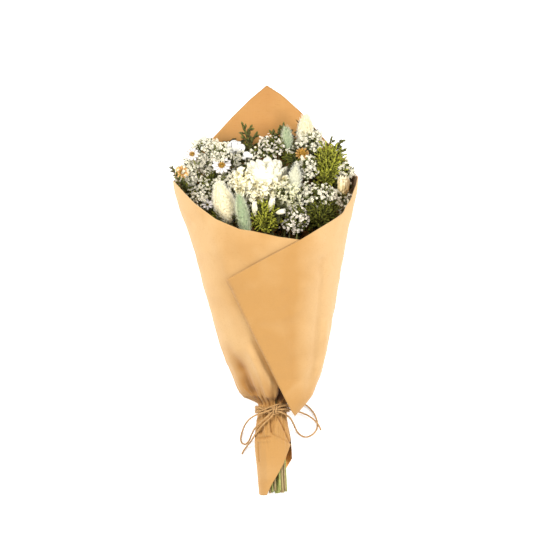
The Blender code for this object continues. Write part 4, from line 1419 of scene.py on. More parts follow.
def blade_shape(name: str, rows: int, columns: int, form: Callable[[float, float], Point],
                thick: float) -> Object:
    """A thin closed petal or leaf.

    Args:
        name: the shape's name.
        rows: points from foot to tip.
        columns: points across.
        form: place of the middle of the blade for a share along it and a share from -1 to 1 across.
        thick: thickness in the middle.

    Returns:
        The template.
    """
    points, along, upper, lower = [], [], {}, {}
    for i in range(rows):
        for j in range(columns):
            t, u = i / (rows - 1), 2.0 * j / (columns - 1) - 1.0
            x, y, z = form(t, u)
            upper[i, j] = lower[i, j] = len(points)
            points.append((x, y, z))
            along.append(t)
            if 0 < i < rows - 1 and 0 < j < columns - 1:
                lower[i, j] = len(points)
                points.append((x, y, z - thick))
                along.append(t)
    faces = []
    for i in range(rows - 1):
        for j in range(columns - 1):
            faces.append((upper[i, j], upper[i, j + 1], upper[i + 1, j + 1], upper[i + 1, j]))
            faces.append((lower[i, j], lower[i + 1, j], lower[i + 1, j + 1], lower[i, j + 1]))
    return template(name, points, faces, along)


def ray_form(t: float, u: float) -> Point:
    """Daisy petal one unit long, blunt and a little notched, with a shallow channel."""
    width = 0.27 * (0.35 + 0.65 * math.sin(math.pi * min(t * 0.72 + 0.05, 1.0))) * (1.0 - 0.5 * t ** 8)
    return u * width, t * (1.0 - 0.05 * u * u * t), 0.10 * math.sin(1.7 * t) + 0.05 * u * u - 0.10 * t * t


def bloom_form(t: float, u: float) -> Point:
    """Large cupped petal one unit long, with a rounded, slightly waved edge."""
    width = 0.20 * math.sin(math.pi * min(0.10 + 0.68 * t, 1.0)) ** 0.65
    lift = 0.10 * t - 0.12 * t ** 4 + 0.34 * u * u * t * (1.25 - t) + 0.02 * math.sin(5.0 * u + 3.0 * t) * t
    return u * width * (1.0 - 0.30 * max(0.0, t - 0.8)), t * (1.0 - 0.16 * u * u * t), lift


def puff_form(t: float, u: float) -> Point:
    """Round cupped petal one unit long."""
    width = 0.38 * math.sin(math.pi * min(0.12 + 0.62 * t, 1.0)) ** 0.7
    return u * width, t * (1.0 - 0.16 * u * u * t), 0.10 * t - 0.12 * t ** 4 + 0.24 * u * u * t * (1.2 - t)


def frill_form(t: float, u: float) -> Point:
    """Small frilled petal one unit long, widest at its ruffled end."""
    width = 0.12 + 0.46 * t ** 0.8
    return (u * width, t * (1.0 - 0.22 * u * u + 0.05 * math.cos(7.0 * u)),
            0.35 * t * t + 0.12 * math.sin(6.5 * u) * t * t)


def leaf_form(t: float, u: float) -> Point:
    """Narrow pointed leaf one unit long, folded along its middle."""
    width = 0.19 * math.sin(math.pi * min(1.0, 0.06 + 0.90 * t)) ** 0.8
    return u * width, t, 0.10 * abs(u) * math.sin(math.pi * t) + 0.14 * t * (1.0 - t) - 0.10 * t * t


def broad_leaf_form(t: float, u: float) -> Point:
    """Lens-shaped flat leaf one unit long."""
    width = 0.20 * math.sin(math.pi * min(1.0, 0.05 + 0.92 * t)) ** 0.9
    return u * width, t, 0.04 * abs(u) - 0.10 * (t - 0.5) ** 2


def spindle(centre: Sequence[float], reach: Sequence[float], across: Sequence[float],
            thick: float) -> tuple[list[Point], list[tuple[int, ...]]]:
    """A flattened eight-sided grain: two tips along reach, two along across, two above and below."""
    c, r, a, up = Vector(centre), Vector(reach), Vector(across), Vector((0.0, 0.0, thick))
    points = [tuple(c + v) for v in (-r, a, r, -a, up, -up)]
    faces = [(k, (k + 1) % 4, 4) for k in range(4)] + [((k + 1) % 4, k, 5) for k in range(4)]
    return points, faces


def floret_shape(name: str, radius: float, petals: int = 5) -> Object:
    """A tiny open flower of separate petals round a dark middle.

    Args:
        name: the shape's name.
        radius: the flower's radius.
        petals: number of petals.

    Returns:
        The template.
    """
    lift, grains = Vector((0.0, 0.0, 0.08 * radius)), []
    for k in range(petals):
        angle = 2 * math.pi * k / petals + 0.12 * math.sin(9.0 * k)
        ahead = Vector((math.cos(angle), math.sin(angle), 0.0))
        grains.append(spindle(ahead * 0.56 * radius + lift, ahead * 0.44 * radius + lift,
                              Vector((-ahead.y, ahead.x, 0.0)) * 0.42 * radius, 0.05 * radius))
    grains.append(spindle((0, 0, 0.06 * radius), (0.17 * radius, 0, 0), (0, 0.17 * radius, 0), 0.16 * radius))
    faces = [tuple(index + 6 * n for index in face) for n, (_, own) in enumerate(grains) for face in own]
    along = [0.86, 1.0, 1.0, 1.0, 1.0, 1.0] * petals + [0.0] * 6
    return template(name, [point for own, _ in grains for point in own], faces, along)


def grain_shape(name: str, length: float, width: float) -> Object:
    """A small scale or grain along +Y."""
    points, faces = spindle((0, 0.5 * length, 0), (0, 0.5 * length, 0), (0.5 * width, 0, 0), 0.4 * width)
    return template(name, points, faces, (0.0, 0.5, 1.0, 0.5, 0.5, 0.5))


class Shape(Enum):
    """Shapes that repeat, each with the function that makes it and its sizes."""

    BRISTLE = (cone_shape, 6.5 * MM, 0.13 * MM)
    FIBRE = (cone_shape, 1.7 * MM, 0.07 * MM, 0.5 * MM)
    FLORET = (floret_shape, 1.9 * MM)
    STAR = (floret_shape, 2.1 * MM, 6)
    SCALE = (grain_shape, 3.3 * MM, 1.7 * MM)
    GRAIN = (grain_shape, 1.0 * MM, 0.75 * MM)
    RAY = (blade_shape, 5, 3, ray_form, 0.035)
    BLOOM_PETAL = (blade_shape, 7, 6, bloom_form, 0.03)
    PUFF_PETAL = (blade_shape, 6, 5, puff_form, 0.03)
    FRILL = (blade_shape, 4, 6, frill_form, 0.05)
    LEAF = (blade_shape, 4, 3, leaf_form, 0.02)
    BROAD_LEAF = (blade_shape, 7, 5, broad_leaf_form, 0.03)

    def make(self) -> Object:
        """An object that holds the shape."""
        maker, *sizes = self.value
        return maker(self.name.lower(), *sizes)


@dataclass
class Spot:
    """Where one copy of a shape goes.

    Attributes:
        at: its foot.
        facing: direction of its upper side.
        lead: direction of its tip.
        size: its scale.
        shade: 0 for the darkest, 1 for the lightest; a random tone for most pieces, painted shade for florets
            by how far in they lie and for scales along their twigs.
    """

    at: Vector
    facing: Vector
    lead: Vector
    size: float = 1.0
    shade: float = 0.5

    def turn(self) -> Vector:
        """Rotation of the copy."""
        z = self.facing.normalized()
        x = self.lead.cross(z)
        if x.length < 1e-4:
            x = Vector((1.0, 0.02, 0.03)).cross(z)
        x.normalize()
        return Vector(Matrix((x, z.cross(x), z)).transposed().to_euler())


@dataclass
class Kit:
    """What every plant is made with: templates, trees and materials."""

    shapes: dict[Shape, Object]
    copies: NodeTree
    bristles: NodeTree
    twigs: NodeTree
    looks: dict[str, Material]

    def scatter(self, shape: Shape, look: str, spots: Sequence[Spot], seed: int, size_change: float = 0.15,
                turn_change: float = 0.2) -> Mesh:
        """Copies of a shape on spots.

        Args:
            shape: the shape.
            look: name of its finish.
            spots: where the copies go.
            seed: fixed start of the random numbers.
            size_change: most that the size differs, as a share.
            turn_change: most that each turn differs, in radians.

        Returns:
            The mesh.
        """
        points = new_mesh("spots", [spot.at for spot in spots])
        turns = points.attributes.new("turn", "FLOAT_VECTOR", "POINT")
        turns.data.foreach_set("vector", [angle for spot in spots for angle in spot.turn()])
        set_float(points, "size", [spot.size for spot in spots])
        set_float(points, "shade", [spot.shade for spot in spots])
        return grow(self.copies, points,
                    {"Shape": self.shapes[shape], "Finish": self.looks[look], "Seed": seed,
                     "Size Change": size_change, "Turn Change": turn_change})

    def branches(self, look: str, lines: Twigs, sides: int = 4) -> Mesh:
        """Twigs along straight runs.

        Args:
            look: name of their finish.
            lines: the runs.
            sides: corners of each twig's section.

        Returns:
            The mesh.
        """
        points, edges, thick = [], [], []
        for start, end, first, last in lines:
            edges.append((len(points), len(points) + 1))
            points += [tuple(start), tuple(end)]
            thick += [first, last]
        mesh = new_mesh("skeleton", points, edges=edges)
        set_float(mesh, "thick", thick)
        return grow(self.twigs, mesh, {"Finish": self.looks[look], "Sides": sides})


GOLDEN = math.pi * (3.0 - math.sqrt(5.0))


def sphere_directions(count: int, turn: float) -> list[Vector]:
    """Evenly spread directions, from +Z down to -Z, turned about Z."""
    result = []
    for k in range(count):
        z = 1.0 - 2.0 * (k + 0.5) / count
        angle, ring = GOLDEN * k + turn, math.sqrt(1.0 - z * z)
        result.append(Vector((ring * math.cos(angle), ring * math.sin(angle), z)))
    return result


def stretched(direction: Vector, half: Vector) -> Vector:
    """A direction scaled to the surface of an ellipsoid."""
    return Vector([part * size for part, size in zip(direction, half)])


# ---- Plants ----

OUTWARD = Vector((0.0, 0.35, 0.94))  # way that the flowers mostly face


@dataclass
class Growth:
    """What grows on a plant's side twigs.

    Attributes:
        twigs: the twigs.
        scales: scales of evergreen sprigs.
        florets: tiny flowers.
        buds: closed buds among them.
    """

    twigs: Twigs = field(default_factory=list)
    scales: list[Spot] = field(default_factory=list)
    florets: list[Spot] = field(default_factory=list)
    buds: list[Spot] = field(default_factory=list)


@dataclass
class Plant:
    """One cut stem with what grows on it; kinds of flower fill in the head.

    Attributes:
        kit: shared shapes, trees and materials.
        node: node of the frame that it replaces.
        stem_look: finish of the stem.
        seed: fixed start of its random numbers.
        slot: the record's material slot.
        floret_look: finish of the tiny flowers on side twigs.
        green_look: finish of the evergreen sprigs among them.
        beside: what grows beside the head: offset, reach, clusters of florets, evergreen sprigs.
        offset: how far what it shows lies from the middle of the node's head, in millimetres.
        squash: size of what it shows as a share of the node's head.
    """

    kit: Kit
    node: str
    stem_look: str = "stem_olive"
    seed: int = 1
    slot: str = "green_foliage"
    floret_look: str = "white_floret"
    green_look: str = "cypress_dark"
    beside: tuple[Point, float, int, int] | None = None
    offset: Point = (0.0, 0.0, 0.0)
    squash: Point = (1.0, 1.0, 1.0)

    # near-black leaves along the stem and under the head, painted shade in the gaps: their lengths in
    # millimetres, how far those under the head spread, and the inner part of the bunch, where they spread
    # further
    stem_leaves: int = 18
    shade_leaves: int = 78
    leaf_size: tuple[float, float] = (5.5, 10.5)
    leaf_spread: tuple[float, float] = (0.8, 1.35)
    inner_x: float = 90 * MM
    inner_y: tuple[float, float] = (96 * MM, 160 * MM)
    rim_margin: float = 9.0
    stem_taper: float = 0.25
    # evergreen sprigs: spacing of scales and of side twigs, reach of those, size of scales and twigs
    step: float = 1.25 * MM
    side_step: float = 3.4 * MM
    side_reach: tuple[float, float] = (0.20, 0.36)
    scale_size: float = 1.12
    twig: float = 1.0
    # clusters: lowest direction, florets and buds in each, their spread, size and mean painted shade
    lowest: float = -0.55
    florets: tuple[int, int] = (12, 18)
    buds: int = 3
    spread: float = 5.6 * MM
    floret_size: tuple[float, float] = (0.62, 1.0)
    lit: float = 0.75

    def __post_init__(self) -> None:
        """Read the stem from the frame and start its random numbers."""
        self.line = StemLine(self.node)
        self.chance = random.Random(1000 + self.seed)
        self.vary = self.chance.uniform
        self.around = stretched(self.line.half, Vector(self.squash))
        self.middle = self.line.centre + Vector(self.offset) * MM
        self.foot = self.line.centre - self.line.heading() * self.line.reach * 0.8

    def stem(self) -> Mesh:
        """The stem, thinning towards the head."""
        radius = self.line.radius * 0.94
        return sweep("stem", self.line.path(self.foot, 9 * MM),
                     lambda share: radius * (1.0 - self.stem_taper * share), 7,
                     self.kit.looks[self.stem_look])

    def jitter(self, amount: float) -> Vector:
        """A random offset within a cube."""
        return Vector([self.vary(-amount, amount) for _ in range(3)])

    def undergrowth(self) -> Mesh:
        """Small near-black leaves along the upper stem and under the head, painted shade that fills the gaps.
        """
        start, end = self.line.rings[-1], self.line.centre
        inner = abs(end.x) < self.inner_x and self.inner_y[0] < end.y < self.inner_y[1]
        spots = []
        for k in range(self.stem_leaves + self.shade_leaves):
            if k < self.stem_leaves:
                at = start.lerp(end, self.vary(0.35, 0.9)) + self.jitter(4 * MM)
            else:
                away = stretched(self.jitter(1.0).normalized(), self.around)
                away *= self.vary(0.2, self.leaf_spread[inner])
                away.z = -abs(away.z) - self.vary(1.0, 8.0) * MM
                at = (end if k % 2 else self.middle) + away
            if not Wrap.covers(at, self.rim_margin):
                continue
            side = (self.jitter(1.0) + Vector((0.0, -0.2, 0.15))).normalized()
            length = self.vary(*self.leaf_size) * MM
            tip = Wrap.within(Wrap.within(at, 5.0) + side * length * 1.3, 4.0)
            facing = (side.cross(self.jitter(1.0)) + OUTWARD).normalized()
            spots.append(Spot(tip - side * length * 1.3, facing, side, length, self.vary(0.0, 0.8)))
        return self.kit.scatter(Shape.LEAF, "under_leaf", spots, self.seed + 7, 0.2, 0.4)

    def clothe(self, growth: Growth, start: Vector, end: Vector, first: float, last: float) -> None:
        """Add a straight twig covered with scales.

        Args:
            growth: what it is added to.
            start: foot of the twig.
            end: its tip.
            first: shade at its foot.
            last: shade at its tip.
        """
        start, end = Wrap.within(start), Wrap.within(end, 4.5)
        ahead = (end - start).normalized()
        side = ahead.cross(Vector((0.13, -0.21, 1.0))).normalized()
        rise = side.cross(ahead)
        count = max(2, int((end - start).length / self.step))
        growth.twigs.append((start, end, 0.42 * MM * self.twig, 0.22 * MM * self.twig))
        for k in range(count):
            share = (k + 0.5) / count
            for turn in (0.0, math.pi):
                out = round_way(side, rise, turn + 1.57 * (k % 2) + self.vary(-0.4, 0.4))
                size = self.vary(0.75, 1.15) * (1.1 - 0.25 * share) * self.scale_size
                # painted shade: scales darker towards the inner end of the twig and lighter towards its tip,
                # with a random tone
                shade = first + (last - first) * share + self.vary(-0.12, 0.12)
                growth.scales.append(Spot(start.lerp(end, share), out, ahead + out * 0.75, size, shade))
        growth.scales.append(Spot(end, rise, ahead, 0.9 * self.scale_size, last))

    def sprig(self, growth: Growth, start: Vector, end: Vector) -> None:
        """Add one sprig with side twigs on alternate sides.

        Args:
            growth: what it is added to.
            start: foot of the sprig.
            end: its tip.
        """
        bend = start.lerp(end, 0.5) + self.jitter(1.5 * MM)
        # painted shade: dark at the sprig's foot inside the head, light out at its tips
        self.clothe(growth, start, bend, 0.05, 0.4)
        self.clothe(growth, bend, end, 0.4, 0.9)
        ahead, length = (end - start).normalized(), (end - start).length
        flat = ahead.cross(OUTWARD + self.jitter(0.4)).normalized()
        count = max(2, int(length / self.side_step))
        for k in range(count):
            share = 0.18 + 0.72 * (k + 0.5) / count
            foot = start.lerp(bend, 2 * share) if share < 0.5 else bend.lerp(end, 2 * share - 1)
            way = 1 if k % 2 else -1
            reach = length * self.vary(*self.side_reach) * (1.15 - 0.6 * share)
            tip = foot + (ahead * 0.9 + flat * way * 0.85 + self.jitter(0.35)).normalized() * reach
            self.clothe(growth, foot, tip, 0.1, self.vary(0.35, 1.1))

    def cluster(self, growth: Growth, middle: Vector, facing: Vector) -> None:
        """Add a cluster of tiny flowers and buds, each flower on its own twig.

        Args:
            growth: what it is added to.
            middle: where its twigs part.
            facing: the way that it mostly faces.
        """
        elbow = self.foot.lerp(middle, 0.55) + Vector((0.0, 0.0, -1.5 * MM)) + self.jitter(2.0 * MM)
        growth.twigs += [(self.foot, elbow, 0.5 * MM, 0.36 * MM), (elbow, middle, 0.36 * MM, 0.24 * MM)]
        for _ in range(self.chance.randint(*self.florets)):
            offset = self.jitter(1.0)
            offset = (offset - facing * offset.dot(facing) * 0.4) * self.spread
            at = Wrap.within(middle + offset + facing * 1.5 * MM)
            growth.twigs.append((middle - facing * 1.2 * MM, at, 0.16 * MM, 0.12 * MM))
            look_to = (facing + OUTWARD * 0.5 + offset / self.spread * 0.4).normalized()
            # painted shade: florets out in front of the cluster lighter, those further in darker, with a
            # random tone
            lit = self.lit + 1.5 * offset.dot(facing) / self.spread + self.vary(-0.3, 0.3)
            growth.florets.append(Spot(at, look_to, self.jitter(1.0), self.vary(*self.floret_size),
                                       min(max(lit, 0.0), 1.0)))
        for _ in range(self.buds):
            at = Wrap.within(middle + self.jitter(0.9) * self.spread)
            growth.buds.append(Spot(at, self.jitter(1.0) + OUTWARD, facing + self.jitter(0.5), 1.5,
                                    self.vary(0.0, 1.0)))

    def filling(self, centre: Vector, half: Vector, clusters: int, greens: int) -> list[Mesh]:
        """Clusters of tiny flowers on branching twigs, with evergreen sprigs between them.

        Args:
            centre: middle of the room that they fill.
            half: its half sizes.
            clusters: number of clusters, before those underneath are left out.
            greens: number of evergreen sprigs.

        Returns:
            Meshes of scales, twigs, florets and buds.
        """
        growth = Growth()
        for direction in sphere_directions(clusters, self.seed):
            if direction.z >= self.lowest:
                middle = centre + stretched(direction, half) * self.vary(0.62, 0.98)
                middle = Wrap.within(middle + self.jitter(1.6 * MM), 6.0)
                self.cluster(growth, middle, (direction * 0.8 + OUTWARD).normalized())
        for direction in sphere_directions(greens, 0.3 * self.seed):
            tip = centre + stretched((direction + Vector((0, 0.5, 0.4))).normalized(), half) * 0.98
            self.sprig(growth, self.foot.lerp(centre, 0.5), tip)
        return [self.kit.scatter(Shape.SCALE, self.green_look, growth.scales, self.seed + 5, 0.15, 0.2),
                self.kit.branches("twig_green", growth.twigs),
                self.kit.scatter(Shape.FLORET, self.floret_look, growth.florets, self.seed, 0.12, 0.2),
                self.kit.scatter(Shape.GRAIN, "green_bud", growth.buds, self.seed + 3, 0.3, 0.6)]

    def head(self) -> list[Mesh]:
        """Meshes of the head."""
        return []

    def build(self) -> None:
        """Make the whole plant as one piece."""
        parts = [self.stem(), self.undergrowth(), *self.head()]
        if self.beside:
            offset, reach, clusters, greens = self.beside
            room = Vector((reach, reach, 0.7 * reach)) * MM
            parts += self.filling(self.line.centre + Vector(offset) * MM, room, clusters, greens)
        finish_piece(join_meshes(f"{self.node}_plant", parts), self.slot, self.node)


@dataclass
class BunnyTail(Plant):
    """A soft grass head: count long bristles over an egg-shaped core of some girth."""

    look: str = "cream_bristle"
    slot: str = "cream_grass"
    count: int = 1900
    girth: float = 1.0
    offset: Point = (0.0, -2.0, 0.0)

    rings: int = 12
    sides: int = 14
    core: tuple[float, float] = (0.97, 0.88)  # the core's length and width as shares of the node's head

    def head(self) -> list[Mesh]:
        """Core and bristles."""
        line, points = self.line, []
        axis, reach, girth = line.axis, line.reach * self.core[0], line.girth * self.core[1] * self.girth
        for t in (ring / self.rings for ring in range(self.rings + 1)):
            radius = girth * max(0.04, math.sin(math.pi * t ** 0.86)) ** 0.72 * (1.0 - 0.18 * t)
            points += [self.middle + axis * reach * (2 * t - 1)
                       + round_way(line.across, line.rise, 2 * math.pi * k / self.sides) * radius
                       for k in range(self.sides)]
        *quads, foot, tip = ring_faces(self.rings + 1, self.sides)
        core = new_mesh("core", points, [*((a, d, c, b) for a, b, c, d in quads), foot[::-1], tip[::-1]])
        set_float(core, "along", [0.3] * len(points))
        area = sum(face.area for face in core.polygons)
        return [grow(self.kit.bristles, core,
                     {"Bristle": self.kit.shapes[Shape.BRISTLE], "Finish": self.kit.looks[self.look],
                      "Density": self.count / area, "Sweep": tuple(axis * 1.15), "Stray": 0.40,
                      "Seed": self.seed})]


@dataclass
class Spray(Plant):
    """Clusters of tiny flowers on thin branching twigs."""

    clusters: int = 20
    slot: str = "white_filler"
    greens: int = 4

    fill: float = 1.18

    def head(self) -> list[Mesh]:
        """Clusters over the whole head."""
        return self.filling(self.middle, self.around * self.fill, self.clusters, self.greens)


@dataclass
class Cypress(Plant):
    """Branching evergreen sprigs covered with small pointed scales."""

    sprigs: int = 16
    look: str = "cypress_bright"

    fill: float = 1.12

    def fan(self, growth: Growth) -> None:
        """Add sprigs that fan out from the stem to fill the head."""
        for direction in sphere_directions(self.sprigs, 0.7 * self.seed):
            lifted = (direction + Vector((0.0, 0.55, 0.35))).normalized()
            tip = self.middle + stretched(lifted, self.around * self.fill) * self.vary(0.88, 1.08)
            self.sprig(growth, self.foot.lerp(self.middle, self.vary(0.0, 0.5)), tip)

    def head(self) -> list[Mesh]:
        """Twigs and the scales on them."""
        growth = Growth()
        self.fan(growth)
        return [self.kit.branches("twig_brown", growth.twigs),
                self.kit.scatter(Shape.SCALE, self.look, growth.scales, self.seed, 0.15, 0.2)]


@dataclass
class Sprig(Cypress):
    """A single tall evergreen sprig with stout twigs."""

    look: str = "cypress_olive"
    # foot and tips of its twigs, in millimetres across and along from the middle of the head
    tips: tuple[tuple[float, float], ...] = ()

    stem_leaves: int = 4
    shade_leaves: int = 0
    side_step: float = 5.0 * MM
    side_reach: tuple[float, float] = (0.10, 0.18)
    scale_size: float = 1.75
    twig: float = 2.0
    step: float = 1.5 * MM

    def fan(self, growth: Growth) -> None:
        """Add an upright twig with forks that leave it one above another."""
        base, *tips = [self.line.centre + Vector((x, y, 3.0)) * MM for x, y in self.tips]
        for number, tip in enumerate(tips):
            self.sprig(growth, base.lerp(tips[0], 0.7 - 0.18 * number) if number else base, tip)


@dataclass
class Daisy(Plant):
    """A daisy with blunt petals in two rows round a domed, grainy middle."""

    petals: int = 13
    look: str = "white_ray"
    heart: str = "daisy_heart"
    slot: str = "white_petals"
    heart_share: float = 0.36

    facing: Vector = Vector((0.0, 0.42, 0.90)).normalized()
    ROWS = ((0, 1.06, 0.0), (2, 0.98, -0.7))  # petals fewer, length as a share and drop of each row
    grains: int = 90
    sepals: int = 10

    def head(self) -> list[Mesh]:
        """Petals, middle and the green cup behind them."""
        facing, across = (self.facing + self.jitter(0.10)).normalized(), Vector((1.0, 0.0, 0.0))
        across = (across - facing * across.dot(facing)).normalized()
        up = facing.cross(across)
        radius, centre = self.line.half.x, self.line.centre + facing * 0.5 * MM
        inner = self.heart_share * radius
        rays, grains, cup = [], [], []
        for row, (fewer, share, drop) in enumerate(self.ROWS):
            count = self.petals - fewer
            for k in range(count):
                out = round_way(across, up, 2 * math.pi * (k + 0.5 * row) / count + self.vary(-0.06, 0.06))
                lead = out + facing * self.vary(0.02, 0.24)
                rays.append(Spot(centre + out * inner * 0.75 + facing * drop * MM, facing - out * 0.1, lead,
                                 (radius - 0.75 * inner) * share, self.vary(0.4, 1.0)))
        for k in range(self.grains):
            share, out = math.sqrt((k + 0.5) / self.grains), round_way(across, up, GOLDEN * k)
            at = centre + out * inner * share + facing * inner * 0.55 * math.cos(0.5 * math.pi * share * 0.9)
            grains.append(Spot(at - facing * 0.4 * MM, out, facing + out * share * 0.7, inner / (3.4 * MM),
                               0.25 + 0.6 * share + self.vary(-0.2, 0.2)))
        # a cup of near-black leaves behind the petals: painted shade
        for k in range(self.sepals):
            out = round_way(across, up, 2 * math.pi * k / self.sepals)
            cup.append(Spot(centre - facing * 3.0 * MM, -facing + out * 0.2, out + facing * 0.75,
                            radius * 0.5, 0.4))
        stalk = [(self.foot, centre - facing * 0.8 * MM, self.line.radius * 0.7, self.line.radius * 0.9)]
        return [self.kit.branches(self.stem_look, stalk, 6),
                self.kit.scatter(Shape.RAY, self.look, rays, self.seed, 0.08, 0.12),
                self.kit.scatter(Shape.GRAIN, self.heart, grains, self.seed + 1, 0.2, 0.3),
                self.kit.scatter(Shape.LEAF, "under_leaf", cup, self.seed + 2, 0.1, 0.1)]


@dataclass
class Bloom(Plant):
    """The large cream bloom: broad cupped petals above, frilled florets below."""

    slot: str = "cream_petals"

    # rows of upright petals, in millimetres from the middle: depth, height of the tips, how much lower
    # the outer tips are, number of petals, half the width of the row, length of a petal
    ROWS = ((-12, 14, 9, 8, 21, 26), (-4, 24.5, 10, 11, 30, 33), (3, 21.5, 9, 10, 28, 31),
            (9, 16.5, 8, 9, 24, 27), (14, 9, 6, 6, 16, 21))
    row_x: float = 6.5
    frill_count: int = 520
    frill_size: tuple[float, float] = (5.5, 8.5)
    star_count: int = 90
    # further lobes of frills: middle and half sizes in millimetres, and share of the frills in each
    LOBES = (((-20.0, -7.0, 4.0), (9.5, 14.0, 11.0), 0.33), ((2.0, -18.0, 4.0), (15.0, 9.0, 11.0), 0.30))
    lobe_top: float = 0.9

    def petals(self) -> list[Spot]:
        """Rows of upright petals, the back one turned round."""
        spots = []
        for row, (depth, height, drop, count, spread, length) in enumerate(self.ROWS):
            side = -1.0 if row == 0 else 1.0
            for k in range(count):
                u = 2.0 * (k + 0.25 + 0.5 * (row % 2)) / count - 1.0
                tip = Vector((self.row_x + u * spread, height - drop * abs(u) ** 2.5,
                              depth * (1 - 0.5 * u * u)))
                foot = Vector((self.row_x * 0.6 + u * spread * 0.45, tip.y - length, 0.6 * tip.z))
                spots.append(Spot(self.line.centre + foot * MM + self.jitter(0.5 * MM),
                                  Vector((-0.7 * u, 0.1, -1.0)) * side, (tip - foot).normalized(),
                                  length * MM, self.vary(0.4, 1.0)))
        return spots

    def frills(self, middle: Vector, half: Vector, count: int, top: float) -> list[Spot]:
        """Frilled petals over one room.

        Args:
            middle: middle of the room.
            half: its half sizes.
            count: number of frills, before those underneath and too high are left out.
            top: highest direction that has any.

        Returns:
            Where they go.
        """
        spots = []
        for direction in sphere_directions(count, 0.4):
            if direction.z >= -0.6 and direction.y <= top:
                at = middle + stretched(direction, half) * self.vary(0.72, 1.06)
                lead = (direction + self.jitter(0.45)).normalized()
                facing = (lead.cross(self.jitter(1.0)) + OUTWARD * 0.8).normalized()
                spots.append(Spot(at, facing, lead, self.vary(*self.frill_size) * MM, self.vary(0.2, 1.0)))
        return spots

    def stars(self) -> list[Spot]:
        """Small florets over the lower part."""
        spots = []
        for direction in sphere_directions(self.star_count, 2.0):
            if direction.z >= -0.2 and direction.y <= 0.1:
                at = self.line.centre + stretched(direction, self.line.half) * self.vary(1.0, 1.14)
                spots.append(Spot(at, (direction + OUTWARD).normalized(), self.jitter(1.0),
                                  self.vary(0.7, 1.2), self.vary(0.1, 1.0)))
        return spots

    def head(self) -> list[Mesh]:
        """Upright petals, frills, small florets and the closed middles under them."""
        broad = self.petals()
        rooms = [(self.line.centre, self.line.half, self.frill_count, 0.0)]
        rooms += [(self.line.centre + Vector(at) * MM, Vector(size) * MM, round(share * self.frill_count),
                   self.lobe_top) for at, size, share in self.LOBES]
        frills = [spot for room in rooms for spot in self.frills(*room)]
        stars = self.stars()
        return [*(self.heart(*room[:2]) for room in rooms),
                self.kit.scatter(Shape.BLOOM_PETAL, "bloom_petal", broad, self.seed, 0.05, 0.10),
                self.kit.scatter(Shape.FRILL, "bloom_frill", frills, self.seed + 1, 0.15, 0.3),
                self.kit.scatter(Shape.STAR, "bloom_floret", stars, self.seed + 2, 0.15, 0.2)]

    def heart(self, middle: Vector, half: Vector) -> Mesh:
        """Closed middle that the petals stand on, fuller below."""
        ball = bmesh.new()
        bmesh.ops.create_icosphere(ball, subdivisions=3, radius=1.0)
        for vertex in ball.verts:
            rough = 0.64 + 0.26 * max(-vertex.co.y, 0.0) + 0.10 * noise.noise(vertex.co * 3.0)
            vertex.co = middle + stretched(vertex.co, half) * rough
        mesh = bpy.data.meshes.new("heart")
        ball.to_mesh(mesh)
        ball.free()
        mesh.shade_smooth()
        mesh.materials.append(self.kit.looks["bloom_frill"])
        return mesh


@dataclass
class Puff(Plant):
    """A small double flower: a loose ball of rounded petals."""

    look: str = "puff_petal"
    slot: str = "white_petals"
    petals: int = 54

    def head(self) -> list[Mesh]:
        """Petals over the whole ball."""
        spots = []
        for direction in sphere_directions(self.petals, self.seed):
            lead = (direction + Vector((0.0, 0.5, 0.25)) + self.jitter(0.25)).normalized()
            at = self.middle + stretched(direction, self.around) * 0.30
            spots.append(Spot(at, (direction + OUTWARD * 0.5).normalized(), lead,
                              self.vary(0.85, 1.05) * self.around.x, self.vary(0.3, 1.0)))
        return [self.kit.scatter(Shape.PUFF_PETAL, self.look, spots, self.seed, 0.1, 0.2)]


@dataclass
class Bud(Plant):
    """A closed bud or seed head of overlapping scales."""

    look: str = "bud_scale"
    slot: str = "seed_husk"
    rows: int = 7
    per_row: int = 9
    scale: float = 0.62
    fullness: float = 0.72

    def head(self) -> list[Mesh]:
        """Rows of scales from the foot to the tip."""
        line, spots = self.line, []
        for row in range(self.rows):
            t = row / self.rows
            ring = line.girth * math.sin(math.pi * (0.12 + 0.72 * t)) * self.fullness
            for k in range(self.per_row):
                out = round_way(line.across, line.rise, 2 * math.pi * (k + 0.5 * (row % 2)) / self.per_row)
                at = line.centre + line.axis * line.reach * (-0.95 + 1.45 * t) + out * ring
                spots.append(Spot(at, out, line.axis + out * (0.35 - 0.75 * t),
                                  line.reach * self.scale * 1.3, 0.2 + 0.7 * t))
        return [self.kit.scatter(Shape.BROAD_LEAF, self.look, spots, self.seed, 0.08, 0.08)]


@dataclass
class LeafSprig(Plant):
    """A short twig with narrow leaves in pairs."""

    look: str = "cypress_dark"
    pairs: int = 7

    def head(self) -> list[Mesh]:
        """Twig and leaves."""
        axis, reach = self.line.axis, self.line.reach
        side = axis.cross(OUTWARD).normalized()
        base, tip = self.line.centre - axis * reach, self.line.centre + axis * reach
        spots = []
        for share in (k / (self.pairs - 1) for k in range(self.pairs)):
            for way in (-1, 1):
                lead = axis + side * way * (0.9 - 0.6 * share)
                spots.append(Spot(base.lerp(tip, 0.82 * share), OUTWARD, lead, (9.0 - 3.5 * share) * MM,
                                  self.vary(0.2, 1.0)))
        return [self.kit.branches("twig_brown", [(self.foot, tip, 0.7 * MM, 0.3 * MM)]),
                self.kit.scatter(Shape.LEAF, self.look, spots, self.seed, 0.15, 0.2)]


# ---- The whole bouquet ----

